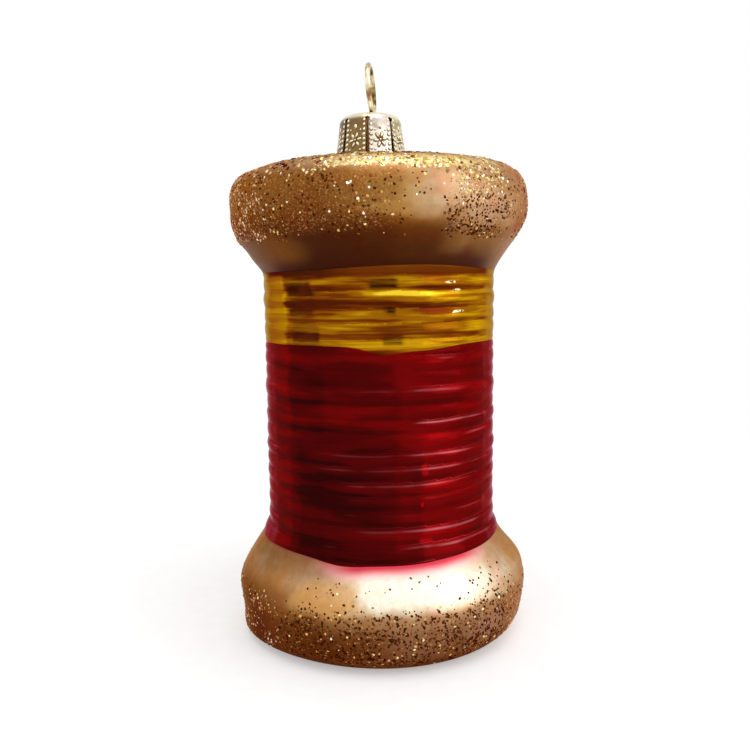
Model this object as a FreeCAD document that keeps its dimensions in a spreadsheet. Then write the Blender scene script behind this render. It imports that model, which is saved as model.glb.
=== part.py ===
import FreeCAD, Part
import math
import os
import Sketcher

# A hanging ornament of blown glass in the shape of a spool of thread.
# The glass is a thin hollow shell: two flanges, a barrel between them and a short open neck on top.
# Two bands of coloured lacquer on the barrel stand for the thread wound on it.
# A stamped metal cap covers the neck, and a loop of spring wire hangs in the cap's hole.
# Millimetres, +Z up. The origin is the centre of the base, where the ornament stands.

doc = FreeCAD.newDocument("spool_ornament")
sheet = doc.addObject("Spreadsheet::Sheet", "Sizes")

SIZES = [
    ("glass_height", 78.3, "base to the top face of the upper flange"),
    ("lower_radius", 25.05, "widest radius of the lower flange"),
    ("lower_bulge", 7.4, "widest place of the lower flange, above the base"),
    ("lower_slope", 31.5, "slope between flange and barrel, degrees off upright"),
    ("upper_radius", 25.4, "widest radius of the upper flange"),
    ("upper_bulge", 6.9, "widest place of the upper flange, below its top face"),
    ("upper_slope", 35.0, "slope between flange and barrel, degrees off upright"),
    ("rim_across", 5.4, "half width of the ellipse between an end face and the widest place"),
    ("flank_across", 2.8, "half width of the ellipse between the widest place and the slope"),
    ("flank_along", 4.8, "half height of that ellipse"),
    ("waist_across", 12.0, "half width of the ellipse between the slope and the barrel"),
    ("waist_along", 7.8, "half height of that ellipse"),
    ("barrel_radius", 19.2, "bare glass between the flanges"),
    ("glass_wall", 0.9, "thickness of the blown shell"),
    ("neck_radius", 4.5, "outside of the neck"),
    ("neck_wall", 0.9, "thickness of the neck"),
    ("neck_offset", -1.06, "the neck stands off the spool's axis, along X"),
    ("neck_headroom", 0.9, "rim of the neck to the underside of the cap"),
    ("coat", 0.15, "lacquer of the thread bands"),
    ("colour_border", 49.6, "where the red band meets the gold one"),
    ("cap_height", 9.7, "the cap's skirt and top together"),
    ("cap_sheet", 0.3, "thickness of the stamped sheet"),
    ("cap_clearance", 0.4, "inside of the cap to the neck, at the top"),
    ("cap_flare", 0.95, "how much wider the skirt is at its foot"),
    ("cap_corner", 1.6, "outer corner between top and skirt"),
    ("cap_turn", -5.0, "how far the cap is turned on the neck, in degrees"),
    ("slit_count", 8, "slits that part the skirt into springy panels"),
    ("slit_drop", 0.65, "top of the cap to the slits' punched relief"),
    ("slit_head_width", 0.3, "slit at its upper end"),
    ("slit_foot_width", 0.8, "slit at the skirt's foot"),
    ("relief_width", 0.9, "punched relief at the slit's head"),
    ("relief_height", 0.65, "punched relief at the slit's head"),
    ("wire_radius", 0.45, "spring wire of the hanger"),
    ("strand_gap", 0.05, "between the two strands where they pass the hole"),
    ("hole_clearance", 0.3, "round the pair of strands in the cap's hole"),
    ("loop_radius", 3.6, "centre line of the loop"),
    ("shoulder_bend", 1.2, "bend from the loop down into the hole"),
    ("leg_length", 12.0, "tip of a leg, below the cap's top"),
    ("leg_clearance", 0.25, "tip of a leg to the neck's bore"),
    ("hanger_turn", -6.7, "how far the loop is turned in the cap at rest, in degrees"),
]

# Where the curves of a flange meet, worked out from its sizes. Heights count from its end face.
FLANGE = [
    ("flank_turn", "atan(flank_along / flank_across * tan({0}_slope))", "end of the flank's ellipse"),
    ("waist_turn", "atan(waist_along / waist_across * tan({0}_slope))", "start of the waist's ellipse"),
    ("slope_radius", "{0}_radius - flank_across * (1 - cos({0}_flank_turn))", "flank into slope"),
    ("slope_height", "{0}_bulge + flank_along * sin({0}_flank_turn)", "flank into slope"),
    ("waist_radius", "barrel_radius + waist_across * (1 - cos({0}_waist_turn))", "slope into waist"),
    ("waist_height", "{0}_slope_height + ({0}_slope_radius - {0}_waist_radius) / tan({0}_slope)",
     "slope into waist"),
    ("barrel_height", "{0}_waist_height + waist_along * sin({0}_waist_turn)", "waist into barrel"),
]

WORKED_OUT = [(f"{end}_{name}", formula.format(end), note)
              for end in ("lower", "upper") for name, formula, note in FLANGE]
WORKED_OUT += [
    ("neck_bore", "neck_radius - neck_wall", "inside of the neck"),
    ("neck_top", "glass_height + cap_height - cap_sheet - neck_headroom", "rim of the neck"),
    ("cap_inside", "neck_radius + cap_clearance", "inside of the cap, at the top"),
    ("cap_outside", "cap_inside + cap_sheet", "outside of the cap, at the top"),
    ("cap_underside", "cap_height - cap_sheet", "underside of the cap's top"),
    ("slit_head", "cap_height - slit_drop - relief_height", "height at which a slit ends"),
    ("cap_hole", "2 * wire_radius + strand_gap / 2 + hole_clearance", "hole for the wire"),
    ("shoulder_out", "shoulder_bend + wire_radius + strand_gap / 2", "middle of the shoulder's bend"),
    ("shoulder_down", "cap_sheet / 2", "middle of the shoulder's bend, below the cap's top"),
    ("leg_reach", "neck_bore - leg_clearance - wire_radius", "tip of a leg off the neck's axis"),
    ("leg_across", "leg_reach - shoulder_out", "tip of a leg to the middle of the bend"),
    ("leg_along", "leg_length - shoulder_down", "tip of a leg to the middle of the bend"),
    ("leg_lean", "atan(leg_across / leg_along)"
     " + asin(shoulder_bend / sqrt(leg_across ^ 2 + leg_along ^ 2))", "a leg off upright"),
    ("mouth_turn", "asin(shoulder_out / (loop_radius + shoulder_bend))", "half the loop's mouth"),
]

for row, (alias, value, note) in enumerate(SIZES + WORKED_OUT, start=1):
    sheet.set(f"A{row}", alias)
    sheet.set(f"B{row}", f"={value}" if isinstance(value, str) else str(value))
    sheet.setAlias(f"B{row}", alias)
    sheet.set(f"C{row}", note)
doc.recompute()

# How a sketch names its own origin, the ends of a curve and the middle of a circle
AXES, START, END, CENTRE = -1, 1, 2, 3
UP = FreeCAD.Vector(0, 0, 1)


def value_of(expression):
    """The number that an expression on the sheet gives."""
    result = sheet.evalExpression(expression)
    return float(getattr(result, "Value", result))


def point(across, up):
    """A point of a sketch, from two expressions."""
    return FreeCAD.Vector(value_of(across), value_of(up), 0)


def bind(thing, **expressions):
    """Tie properties of a feature to the sheet; a double underscore stands for a dot."""
    for name, expression in expressions.items():
        thing.setExpression(name.replace("__", "."), expression)


def new_body(label):
    body = doc.addObject("PartDesign::Body", label)
    body.Label = label
    return body


def new_sketch(body, name, plane):
    """A sketch on one of the body's own origin planes."""
    sketch = body.newObject("Sketcher::SketchObject", name)
    support = next(feature for feature in body.Origin.OriginFeatures if feature.Role == plane)
    sketch.AttachmentSupport = [(support, "")]
    sketch.MapMode = "FlatFace"
    return sketch


def tie(sketch, kind, *where, to):
    """Add a dimension that an expression on the sheet drives."""
    number = sketch.addConstraint(Sketcher.Constraint(kind, *where, value_of(to)))
    sketch.setExpression(f"Constraints[{number}]", to)


def tie_point(sketch, curve, end, across, up):
    """Hold one point of a curve at a place, given as two expressions."""
    tie(sketch, "DistanceX", AXES, START, curve, end, to=across)
    tie(sketch, "DistanceY", AXES, START, curve, end, to=up)


def outline_sketch(body, name, corners, plane="XZ_Plane"):
    """A closed outline of straight lines whose corners are pairs of expressions."""
    sketch = new_sketch(body, name, plane)
    points = [point(*corner) for corner in corners]
    lines = [sketch.addGeometry(Part.LineSegment(start, end), False)
             for start, end in zip(points, points[1:] + points[:1])]
    for before, here in zip(lines[-1:] + lines[:-1], lines):
        sketch.addConstraint(Sketcher.Constraint("Coincident", before, END, here, START))
    for line, corner in zip(lines, corners):
        tie_point(sketch, line, START, *corner)
    return sketch


def circle_sketch(body, name, radius, height):
    """A circle round the neck's axis, in a level plane at a height."""
    sketch = new_sketch(body, name, "XY_Plane")
    bind(sketch, AttachmentOffset__Base__x="Sizes.neck_offset", AttachmentOffset__Base__z=height)
    circle = Part.Circle(FreeCAD.Vector(), UP, value_of(radius))
    curve = sketch.addGeometry(circle, False)
    sketch.addConstraint(Sketcher.Constraint("Coincident", curve, CENTRE, AXES, START))
    tie(sketch, "Radius", curve, to=radius)
    return sketch


def turned(body, name, kind, sketch):
    """Turn an outline once round the body's Z axis, to add it or to cut it away."""
    feature = body.newObject(kind, name)
    feature.Profile = sketch
    feature.ReferenceAxis = (sketch, ["V_Axis"])
    feature.Angle = 360
    return feature


def from_top(height):
    return f"Sizes.glass_height - ({height})"


def along_ellipse(middle_across, middle_up, half_across, half_along, turns):
    """Corners along an ellipse at these turns about its middle, counted from level."""
    return [(f"{middle_across} + {half_across} * cos({turn})",
             f"{middle_up} + {half_along} * sin({turn})") for turn in turns]


def flange_outline(end):
    """One flange from its end face to the barrel, with heights counted from the end face.

    The rim, the flank and the waist follow ellipses; a straight slope joins flank and waist.
    """
    radius, bulge = f"Sizes.{end}_radius", f"Sizes.{end}_bulge"
    flank, waist = f"Sizes.{end}_flank_turn", f"180 deg + Sizes.{end}_waist_turn"
    return [
        *along_ellipse(f"{radius} - Sizes.rim_across", bulge, "Sizes.rim_across", bulge,
                       [f"{turn} deg" for turn in (-90, -72, -54, -36, -18, 0)]),
        *along_ellipse(f"{radius} - Sizes.flank_across", bulge, "Sizes.flank_across",
                       "Sizes.flank_along", [f"{flank} / 2", flank]),
        *along_ellipse("Sizes.barrel_radius + Sizes.waist_across", f"Sizes.{end}_barrel_height",
                       "Sizes.waist_across", "Sizes.waist_along", [waist, f"{waist} / 2", "180 deg"]),
    ]


def flange_hollow(end):
    """The inside of one flange; it shows nowhere, so it has fewer corners."""
    waist = f"(Sizes.{end}_waist_height + Sizes.{end}_barrel_height) / 2"
    return [
        (f"Sizes.{end}_radius - Sizes.rim_across * 3 / 4", "Sizes.glass_wall"),
        (f"Sizes.{end}_radius - Sizes.glass_wall", f"Sizes.{end}_bulge + Sizes.flank_along / 3"),
        ("Sizes.barrel_radius - Sizes.glass_wall", waist),
    ]


def both_flanges(corners_of):
    """The lower flange's corners and the upper one's, upside down, as one outline."""
    lower = corners_of("lower")
    upper = [(across, from_top(height)) for across, height in corners_of("upper")]
    return [("0", lower[0][1]), *lower, *reversed(upper), ("0", upper[0][1])]


def make_glass():
    """The blown shell: flanges, barrel, neck and the hollow inside."""
    body = new_body("glass_body")
    outline = outline_sketch(body, "glass_outline", both_flanges(flange_outline))
    turned(body, "blown_form", "PartDesign::Revolution", outline)

    neck = body.newObject("PartDesign::Pad", "neck")
    neck.Profile = circle_sketch(body, "neck_circle", "Sizes.neck_radius", "Sizes.glass_height")
    bind(neck, Length="Sizes.neck_top - Sizes.glass_height")

    hollow = outline_sketch(body, "hollow_outline", both_flanges(flange_hollow))
    turned(body, "hollow", "PartDesign::Groove", hollow)

    bore = body.newObject("PartDesign::Pocket", "neck_hole")
    bore.Profile = circle_sketch(body, "bore_circle", "Sizes.neck_bore", "Sizes.neck_top")
    bind(bore, Length="Sizes.neck_top - Sizes.glass_height + 2 * Sizes.glass_wall")
    return body


def make_band(label, low, high):
    """A sleeve of lacquer round the straight barrel."""
    body = new_body(label)
    inside = "Sizes.barrel_radius"
    outside = "Sizes.barrel_radius + Sizes.coat"
    outline = outline_sketch(body, f"{label}_outline", [
        (inside, low), (outside, low), (outside, high), (inside, high)])
    turned(body, f"{label}_sleeve", "PartDesign::Revolution", outline)
    return body


def make_cap():
    """The stamped cap: a flared skirt parted by slits, and a top with a hole for the wire."""
    body = new_body("cap")
    corner = [(f"Sizes.cap_outside - Sizes.cap_corner * (1 - sin({angle}))",
               f"Sizes.cap_height - Sizes.cap_corner * (1 - cos({angle}))")
              for angle in (0, 30, 60, 90)]
    inner_corner = "(Sizes.cap_corner - Sizes.cap_sheet)"
    outline = outline_sketch(body, "cap_outline", [
        ("Sizes.cap_hole", "Sizes.cap_underside"),
        ("Sizes.cap_hole", "Sizes.cap_height"),
        *corner,
        ("Sizes.cap_outside + Sizes.cap_flare", "0"),
        ("Sizes.cap_inside + Sizes.cap_flare", "0"),
        ("Sizes.cap_inside", f"Sizes.cap_underside - {inner_corner}"),
        (f"Sizes.cap_inside - {inner_corner}", "Sizes.cap_underside")])
    turned(body, "cap_form", "PartDesign::Revolution", outline)

    slit = outline_sketch(body, "slit_outline", [
        ("-Sizes.slit_foot_width / 2", "-Sizes.cap_sheet"),
        ("Sizes.slit_foot_width / 2", "-Sizes.cap_sheet"),
        ("Sizes.slit_head_width / 2", "Sizes.slit_head"),
        ("Sizes.relief_width / 2", "Sizes.slit_head"),
        ("Sizes.relief_width / 2", "Sizes.slit_head + Sizes.relief_height"),
        ("-Sizes.relief_width / 2", "Sizes.slit_head + Sizes.relief_height"),
        ("-Sizes.relief_width / 2", "Sizes.slit_head"),
        ("-Sizes.slit_head_width / 2", "Sizes.slit_head")])
    cut = body.newObject("PartDesign::Pocket", "slit")
    cut.Profile = slit
    bind(cut, Length="Sizes.cap_outside + Sizes.cap_flare + Sizes.cap_sheet")
    doc.recompute()
    slits = body.newObject("PartDesign::PolarPattern", "slits")
    slits.Originals = [cut]
    slits.Axis = (slit, ["V_Axis"])
    slits.Angle = 360
    bind(slits, Occurrences="Sizes.slit_count")
    body.Tip = slits
    bind(body, Placement__Base__x="Sizes.neck_offset", Placement__Base__z="Sizes.glass_height",
         Placement__Rotation__Angle="Sizes.cap_turn")
    return body


def wire_path(body):
    """The middle line of the wire: leg, shoulder, loop, shoulder and leg, each smooth to the next."""
    path = new_sketch(body, "wire_path", "YZ_Plane")
    loop, bend = value_of("Sizes.loop_radius"), value_of("Sizes.shoulder_bend")
    out, down = value_of("Sizes.shoulder_out"), value_of("Sizes.shoulder_down")
    lean = math.radians(value_of("Sizes.leg_lean"))
    mouth = math.radians(value_of("Sizes.mouth_turn"))
    quarter, half = math.pi / 2, math.pi
    lift = (loop + bend) * math.cos(mouth) - down
    ring = Part.Circle(FreeCAD.Vector(0, lift, 0), UP, loop)
    loop_arc = path.addGeometry(Part.ArcOfCircle(ring, mouth - quarter, half + quarter - mouth), False)
    tie(path, "Radius", loop_arc, to="Sizes.loop_radius")
    sides = (
        ("-", -lean, quarter - mouth, START, END, END),
        ("", quarter + mouth, half + lean, END, START, START))
    for sign, first, last, leg_end, loop_end, end_of_loop in sides:
        side = -1 if sign else 1
        middle = FreeCAD.Vector(side * out, -down, 0)
        tip = FreeCAD.Vector(side * value_of("Sizes.leg_reach"), -value_of("Sizes.leg_length"), 0)
        leave = middle + FreeCAD.Vector(-side * math.cos(lean), -math.sin(lean), 0) * bend
        leg = path.addGeometry(Part.LineSegment(tip, leave), False)
        circle = Part.Circle(middle, UP, bend)
        shoulder = path.addGeometry(Part.ArcOfCircle(circle, first, last), False)
        path.addConstraint(Sketcher.Constraint("Tangent", leg, END, shoulder, leg_end))
        path.addConstraint(Sketcher.Constraint("Tangent", shoulder, loop_end, loop_arc, end_of_loop))
        tie(path, "Radius", shoulder, to="Sizes.shoulder_bend")
        tie_point(path, shoulder, CENTRE, f"{sign}Sizes.shoulder_out", "-Sizes.shoulder_down")
        tie_point(path, leg, START, f"{sign}Sizes.leg_reach", "-Sizes.leg_length")
    return path


def make_hanger():
    """The spring wire. Its section has ten sides, which keeps the facets few.

    The body's own origin is the middle of the hole, level with the cap's top.
    """
    body = new_body("hanger")
    path = wire_path(body)
    section = outline_sketch(body, "wire_section", [
        (f"Sizes.wire_radius * cos({angle})", f"Sizes.wire_radius * sin({angle})")
        for angle in range(0, 360, 36)], plane="XY_Plane")
    lean = FreeCAD.Rotation(FreeCAD.Vector(-1, 0, 0), value_of("Sizes.leg_lean"))
    section.AttachmentOffset = FreeCAD.Placement(FreeCAD.Vector(), lean)
    bind(section, AttachmentOffset__Base__y="-Sizes.leg_reach",
         AttachmentOffset__Base__z="-Sizes.leg_length",
         AttachmentOffset__Rotation__Angle="Sizes.leg_lean")
    doc.recompute()
    wire = body.newObject("PartDesign::AdditivePipe", "wire")
    wire.Profile = section
    wire.Spine = (path, [f"Edge{number}" for number in range(1, len(path.Shape.Edges) + 1)])
    bind(body, Placement__Base__x="Sizes.neck_offset",
         Placement__Base__z="Sizes.glass_height + Sizes.cap_height",
         Placement__Rotation__Angle="Sizes.hanger_turn")
    return body


pieces = [
    make_glass(),
    make_band("red_thread_band", "Sizes.lower_barrel_height", "Sizes.colour_border"),
    make_band("gold_thread_band", "Sizes.colour_border", from_top("Sizes.upper_barrel_height")),
    make_cap(),
    make_hanger(),
]
doc.recompute()

for item in doc.Objects:
    if "Invalid" in item.State or "Error" in item.State:
        raise RuntimeError(f"{item.Label} didn't build")
for piece in pieces:
    if piece.Shape.isNull() or not piece.Shape.isValid():
        raise RuntimeError(f"{piece.Label} has no valid solid")
os.makedirs("parts", exist_ok=True)
for piece in pieces:
    piece.Shape.exportStep(f"parts/{piece.Label}.step")
    print(piece.Label, len(piece.Shape.Solids), "solid", round(piece.Shape.Volume, 1), "cubic mm")
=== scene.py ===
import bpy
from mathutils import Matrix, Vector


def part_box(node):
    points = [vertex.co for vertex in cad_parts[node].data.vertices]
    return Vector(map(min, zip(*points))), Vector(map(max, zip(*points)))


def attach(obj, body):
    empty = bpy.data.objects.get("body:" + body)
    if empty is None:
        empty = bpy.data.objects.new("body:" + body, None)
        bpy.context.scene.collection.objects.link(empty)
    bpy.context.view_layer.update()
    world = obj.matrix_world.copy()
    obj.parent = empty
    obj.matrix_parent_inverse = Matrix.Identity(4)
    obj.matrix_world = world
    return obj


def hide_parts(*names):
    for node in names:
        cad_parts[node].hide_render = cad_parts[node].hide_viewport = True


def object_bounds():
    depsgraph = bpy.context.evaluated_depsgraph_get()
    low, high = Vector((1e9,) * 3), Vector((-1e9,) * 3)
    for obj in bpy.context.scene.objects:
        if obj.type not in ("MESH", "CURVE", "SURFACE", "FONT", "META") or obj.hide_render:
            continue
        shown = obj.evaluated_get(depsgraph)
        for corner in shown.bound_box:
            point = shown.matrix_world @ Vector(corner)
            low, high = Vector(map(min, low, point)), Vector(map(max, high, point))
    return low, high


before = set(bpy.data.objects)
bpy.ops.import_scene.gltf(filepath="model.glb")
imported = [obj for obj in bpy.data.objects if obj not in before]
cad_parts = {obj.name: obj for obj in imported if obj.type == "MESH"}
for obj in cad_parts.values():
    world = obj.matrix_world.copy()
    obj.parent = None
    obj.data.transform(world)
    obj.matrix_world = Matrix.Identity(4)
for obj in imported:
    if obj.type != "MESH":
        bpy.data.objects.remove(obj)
CAD_BOX = [list(corner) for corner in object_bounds()]

import math

import bpy
import numpy as np
from bpy.props import FloatProperty, FloatVectorProperty, IntProperty, PointerProperty
from mathutils import Matrix, Vector

bl_info = {
    "name": "Glass Spool Ornament",
    "version": (1, 0, 0),
    "blender": (4, 5, 0),
    "location": "3D View > Sidebar > Spool Ornament",
    "description": "Blown glass, thread lacquers, glitter, stamped cap and wire loop of an ornament",
    "category": "Object",
}

# Lengths are metres and heights count from the base. Azimuths are degrees from the front, towards
# the right. The lacquers' patterns repeat on the back, so they are laid out over half a turn.
MM = 0.001
NECK_X = -1.06 * MM
GLASS_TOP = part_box("glass_body")[1].z
CAP_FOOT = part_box("cap")[0].z
HANGER_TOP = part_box("hanger")[1].z
# The cap's skirt: its panels, how far each one's middle is drawn in as a share of the radius, and in
# millimetres its radius at the rounded corner and what it has gained at the foot.
PANELS, PANEL_DIP = 8, 0.022
SKIRT_RADIUS, SKIRT_FLARE = 5.2, 0.95

# Colours are written as a screen shows them: red, green and blue from 0 to 255.
UMBER, WALNUT, BRONZE = (66, 26, 5), (86, 46, 16), (108, 62, 24)
TAN, HONEY, CHAMPAGNE = (138, 88, 40), (174, 120, 62), (206, 168, 128)
PEARL, CREAM, ROSE = (232, 206, 168), (255, 250, 224), (226, 150, 140)
BLACK_CHERRY, GARNET, RED = (44, 0, 0), (76, 1, 1), (112, 2, 3)
SCARLET, PINK_HIGHLIGHT = (158, 3, 6), (205, 128, 138)
BURNT, AMBER, OLD_GOLD = (80, 26, 1), (112, 48, 2), (152, 94, 3)
GOLD, LEMON = (200, 148, 8), (246, 208, 48)


def shade(red, green, blue):
    """A screen's colour as the linear colour that a node takes."""
    linear = [c / 3294.6 if c <= 10.3 else ((c / 255 + 0.055) / 1.055) ** 2.4
              for c in (red, green, blue)]
    return (*linear, 1.0)


# ---------------------------------------------------------------- sizes that a user would change

class SpoolGlassSizes(bpy.types.PropertyGroup):
    lower_radius: FloatProperty(name="Lower flange", description="Widest radius of the lower flange",
                                default=25.03 * MM, unit="LENGTH")
    upper_radius: FloatProperty(name="Upper flange", description="Widest radius of the upper flange",
                                default=25.34 * MM, unit="LENGTH")
    barrel_radius: FloatProperty(name="Barrel", description="Radius of the glass between the flanges",
                                 default=19.35 * MM, unit="LENGTH")
    height: FloatProperty(name="Height", description="Base to the top face of the glass",
                          default=78.3 * MM, unit="LENGTH")
    columns: IntProperty(name="Columns", description="Faces round the glass", default=288)


class SpoolThreadSizes(bpy.types.PropertyGroup):
    coat: FloatProperty(name="Coat", description="How far the thread lacquer stands off the glass",
                        default=0.05 * MM, unit="LENGTH")
    rib_pitch: FloatProperty(name="Rib pitch", description="From one wound rib to the next",
                             default=2.42 * MM, unit="LENGTH")
    rib_height: FloatProperty(name="Rib height", description="Relief of the strongest rib",
                              default=0.3 * MM, unit="LENGTH")
    unevenness: FloatProperty(name="Unevenness", description="How irregular the ribs' spacing is",
                              default=0.75, subtype="FACTOR")
    colour_border: FloatProperty(name="Colour border", description="Where the red thread meets the gold",
                                 default=49.8 * MM, unit="LENGTH")


class SpoolGlitterSizes(bpy.types.PropertyGroup):
    flake: FloatProperty(name="Flake", description="Radius of a glitter flake",
                         default=0.21 * MM, unit="LENGTH")
    crowding: FloatProperty(name="Crowding", description="Flakes on a square millimetre where densest",
                            default=4.2)
    seed: IntProperty(name="Seed", description="Another seed gives another sprinkling", default=7)


class SpoolCapSizes(bpy.types.PropertyGroup):
    height: FloatProperty(name="Height", description="From the foot of the skirt to the top",
                          default=8.85 * MM, unit="LENGTH")
    sheet: FloatProperty(name="Sheet", description="Thickness of the stamped sheet",
                         default=0.3 * MM, unit="LENGTH")
    turn: FloatProperty(name="Turn", description="How far the cap is turned on the neck",
                        default=math.radians(-5), subtype="ANGLE")
    plating: FloatVectorProperty(name="Plating", description="Colour of the cap's plating",
                                 default=shade(214, 190, 138)[:3], size=3, subtype="COLOR")


class SpoolHangerSizes(bpy.types.PropertyGroup):
    wire: FloatProperty(name="Wire", description="Radius of the spring wire",
                        default=0.44 * MM, unit="LENGTH")
    loop: FloatProperty(name="Loop", description="Radius of the loop, to the middle of the wire",
                        default=3.8 * MM, unit="LENGTH")
    turn: FloatProperty(name="Turn", description="How far the loop is turned in the cap",
                        default=math.radians(-6.7), subtype="ANGLE")
    lean: FloatProperty(name="Lean", description="How far the loop leans over to the left",
                        default=math.radians(3.5), subtype="ANGLE")


class SpoolStageSettings(bpy.types.PropertyGroup):
    surround: FloatProperty(name="Surround", description="Strength of the light from all round",
                            default=0.62)
    side_lamp: FloatProperty(name="Side lamp", description="Watts of the tall soft lamp on the right",
                             default=0.7)
    top_lamp: FloatProperty(name="Top lamp", description="Watts of the soft lamp overhead", default=0.9)


# ---------------------------------------------------------------- node trees

class Tree:
    """Short ways to add nodes to a material's or a modifier's tree."""

    def __init__(self, tree):
        self.tree = tree
        tree.nodes.clear()

    def feed(self, socket, value):
        """Link or set a socket; a colour may be given as a screen shows it."""
        if isinstance(value, bpy.types.NodeSocket):
            self.tree.links.new(value, socket)
        elif socket.type == "RGBA" and len(value) == 3:
            socket.default_value = shade(*value)
        else:
            socket.default_value = value

    def add(self, kind, inputs=None, **settings):
        node = self.tree.nodes.new(kind)
        for name, value in settings.items():
            setattr(node, name, value)
        for name, value in (inputs or {}).items():
            self.feed(node.inputs[name], value)
        return node

    def sum(self, operation, *values):
        """One step of arithmetic."""
        return self.add("ShaderNodeMath", dict(enumerate(values)), operation=operation).outputs[0]

    def chain(self, operation, first, *others):
        """The same step with one value after another."""
        for value in others:
            first = self.sum(operation, first, value)
        return first

    def times(self, *values):
        return self.chain("MULTIPLY", *values)

    def plus(self, *values):
        return self.chain("ADD", *values)

    def minus(self, *values):
        return self.chain("SUBTRACT", *values)

    def any_of(self, *factors):
        return self.chain("MAXIMUM", *factors)

    def vector(self, operation, *values):
        node = self.add("ShaderNodeVectorMath", operation=operation)
        for number, value in enumerate(values):
            socket = "Scale" if operation == "SCALE" and number == 1 else number
            self.feed(node.inputs[socket], value)
        return node.outputs["Value" if operation == "LENGTH" else "Vector"]

    def split(self, vector):
        return self.add("ShaderNodeSeparateXYZ", {0: vector}).outputs[:3]

    def joined(self, x, y, z):
        return self.add("ShaderNodeCombineXYZ", {0: x, 1: y, 2: z}).outputs[0]

    def between(self, value, low, high, at_low=0.0, at_high=1.0, kind="SMOOTHSTEP"):
        """From one value to another, smoothly, while the input goes from low to high."""
        node = self.add("ShaderNodeMapRange", interpolation_type=kind)
        for name, number in zip(("Value", "From Min", "From Max", "To Min", "To Max"),
                                (value, low, high, at_low, at_high)):
            self.feed(node.inputs[name], number)
        return node.outputs["Result"]

    def window(self, value, low, high, soft):
        """One between low and high, zero outside, with soft edges."""
        return self.times(self.between(value, low - soft, low + soft),
                          self.between(value, high - soft, high + soft, 1, 0))

    def zone(self, across, span, up, rise):
        """One in a field of the glass; span and rise are its two edges and their softness."""
        return self.times(self.window(across, *span), self.window(up, *rise))

    def patch(self, across, up, middle, reach):
        """One in the middle of a round patch, fading to zero at its edge."""
        sides = [self.sum("DIVIDE", self.minus(value, centre), half)
                 for value, centre, half in zip((across, up), middle, reach)]
        return self.between(self.plus(*[self.times(side, side) for side in sides]), 0.15, 1, 1, 0)

    def blend(self, factor, first, second, kind="MIX"):
        node = self.add("ShaderNodeMix", data_type="RGBA", blend_type=kind, clamp_factor=True)
        for socket, value in zip((0, 6, 7), (factor, first, second)):
            self.feed(node.inputs[socket], value)
        return node.outputs[2]

    def ramp(self, factor, stops, kind="EASE"):
        """A colour ramp; a stop's colour is a grey from 0 to 1, a screen's colour or a node's."""
        node = self.add("ShaderNodeValToRGB", {"Fac": factor})
        node.color_ramp.interpolation = kind
        while len(node.color_ramp.elements) < len(stops):
            node.color_ramp.elements.new(1.0)
        for element, (place, colour) in zip(node.color_ramp.elements, stops):
            if not isinstance(colour, tuple):
                colour = (colour, colour, colour, 1.0)
            element.position, element.color = place, colour if len(colour) == 4 else shade(*colour)
        return node.outputs["Color"]

    def noise(self, vector, scale, detail=2.0, roughness=0.5):
        inputs = {"Vector": vector, "Scale": scale, "Detail": detail, "Roughness": roughness}
        return self.add("ShaderNodeTexNoise", inputs).outputs[0]


class Finish(Tree):
    """A material's tree, with the places that its patterns are laid out by and its colour so far."""

    def __init__(self, name):
        self.material = bpy.data.materials.new(name)
        self.material.use_nodes = True
        super().__init__(self.material.node_tree)
        self.colour = None
        place = self.add("ShaderNodeTexCoord").outputs["Object"]
        self.millimetres = self.vector("SCALE", place, 1 / MM)
        x, y, self.up = self.split(self.millimetres)
        # -90 to 90 degrees over the front, and once more over the back
        shifted = self.sum("FLOORED_MODULO", self.plus(self.azimuth_of(x, y), 90), 180)
        self.around = self.minus(shifted, 90)

    def azimuth_of(self, x, y):
        return self.times(self.sum("ARCTAN2", x, self.times(y, -1)), 180 / math.pi)

    def attribute(self, name):
        return self.add("ShaderNodeAttribute", attribute_name=name).outputs["Fac"]

    def over(self, value, low, high, stops):
        """A ramp whose stops are places between low and high."""
        share = self.between(value, low, high, kind="LINEAR")
        return self.ramp(share, [((place - low) / (high - low), colour) for place, colour in stops])

    def over_height(self, value, stops):
        """A ramp whose stops are heights up to 80 mm."""
        return self.over(value, 0, 80, stops)

    def over_turn(self, value, stops):
        """A ramp whose stops are azimuths."""
        return self.over(value, -90, 90, stops)

    def drift(self, cloud):
        """A noise's value as a wandering from -1 to 1."""
        return self.times(self.minus(cloud, 0.5), 2)

    def streaks(self, finest, seed):
        """Noise drawn out level round the piece; finest is the streaks' height in millimetres."""
        stretched = self.vector("MULTIPLY", self.millimetres, (0.07, 0.07, 1 / finest))
        return self.noise(self.vector("ADD", stretched, (seed, 0, 0)), 1, 3)

    def lay(self, where, colour, share=1.0, kind="MIX"):
        """Lay one more colour over the colour so far."""
        if share != 1:
            where = self.times(where, share)
        self.colour = self.blend(where, self.colour, colour, kind)

    def dye(self, where, colour):
        """Darken the colour so far by another."""
        self.lay(where, colour, kind="MULTIPLY")

    def close(self, bump=None, distance=0.02 * MM, **inputs):
        """The shader and its output."""
        shader = self.add("ShaderNodeBsdfPrincipled", {"Base Color": self.colour})
        for name, value in inputs.items():
            self.feed(shader.inputs[name.replace("_", " ")], value)
        if bump is not None:
            node = self.add("ShaderNodeBump", {"Height": bump, "Distance": distance, "Strength": 1.0})
            self.feed(shader.inputs["Normal"], node.outputs["Normal"])
        self.add("ShaderNodeOutputMaterial", {"Surface": shader.outputs[0]})
        return self.material


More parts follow.
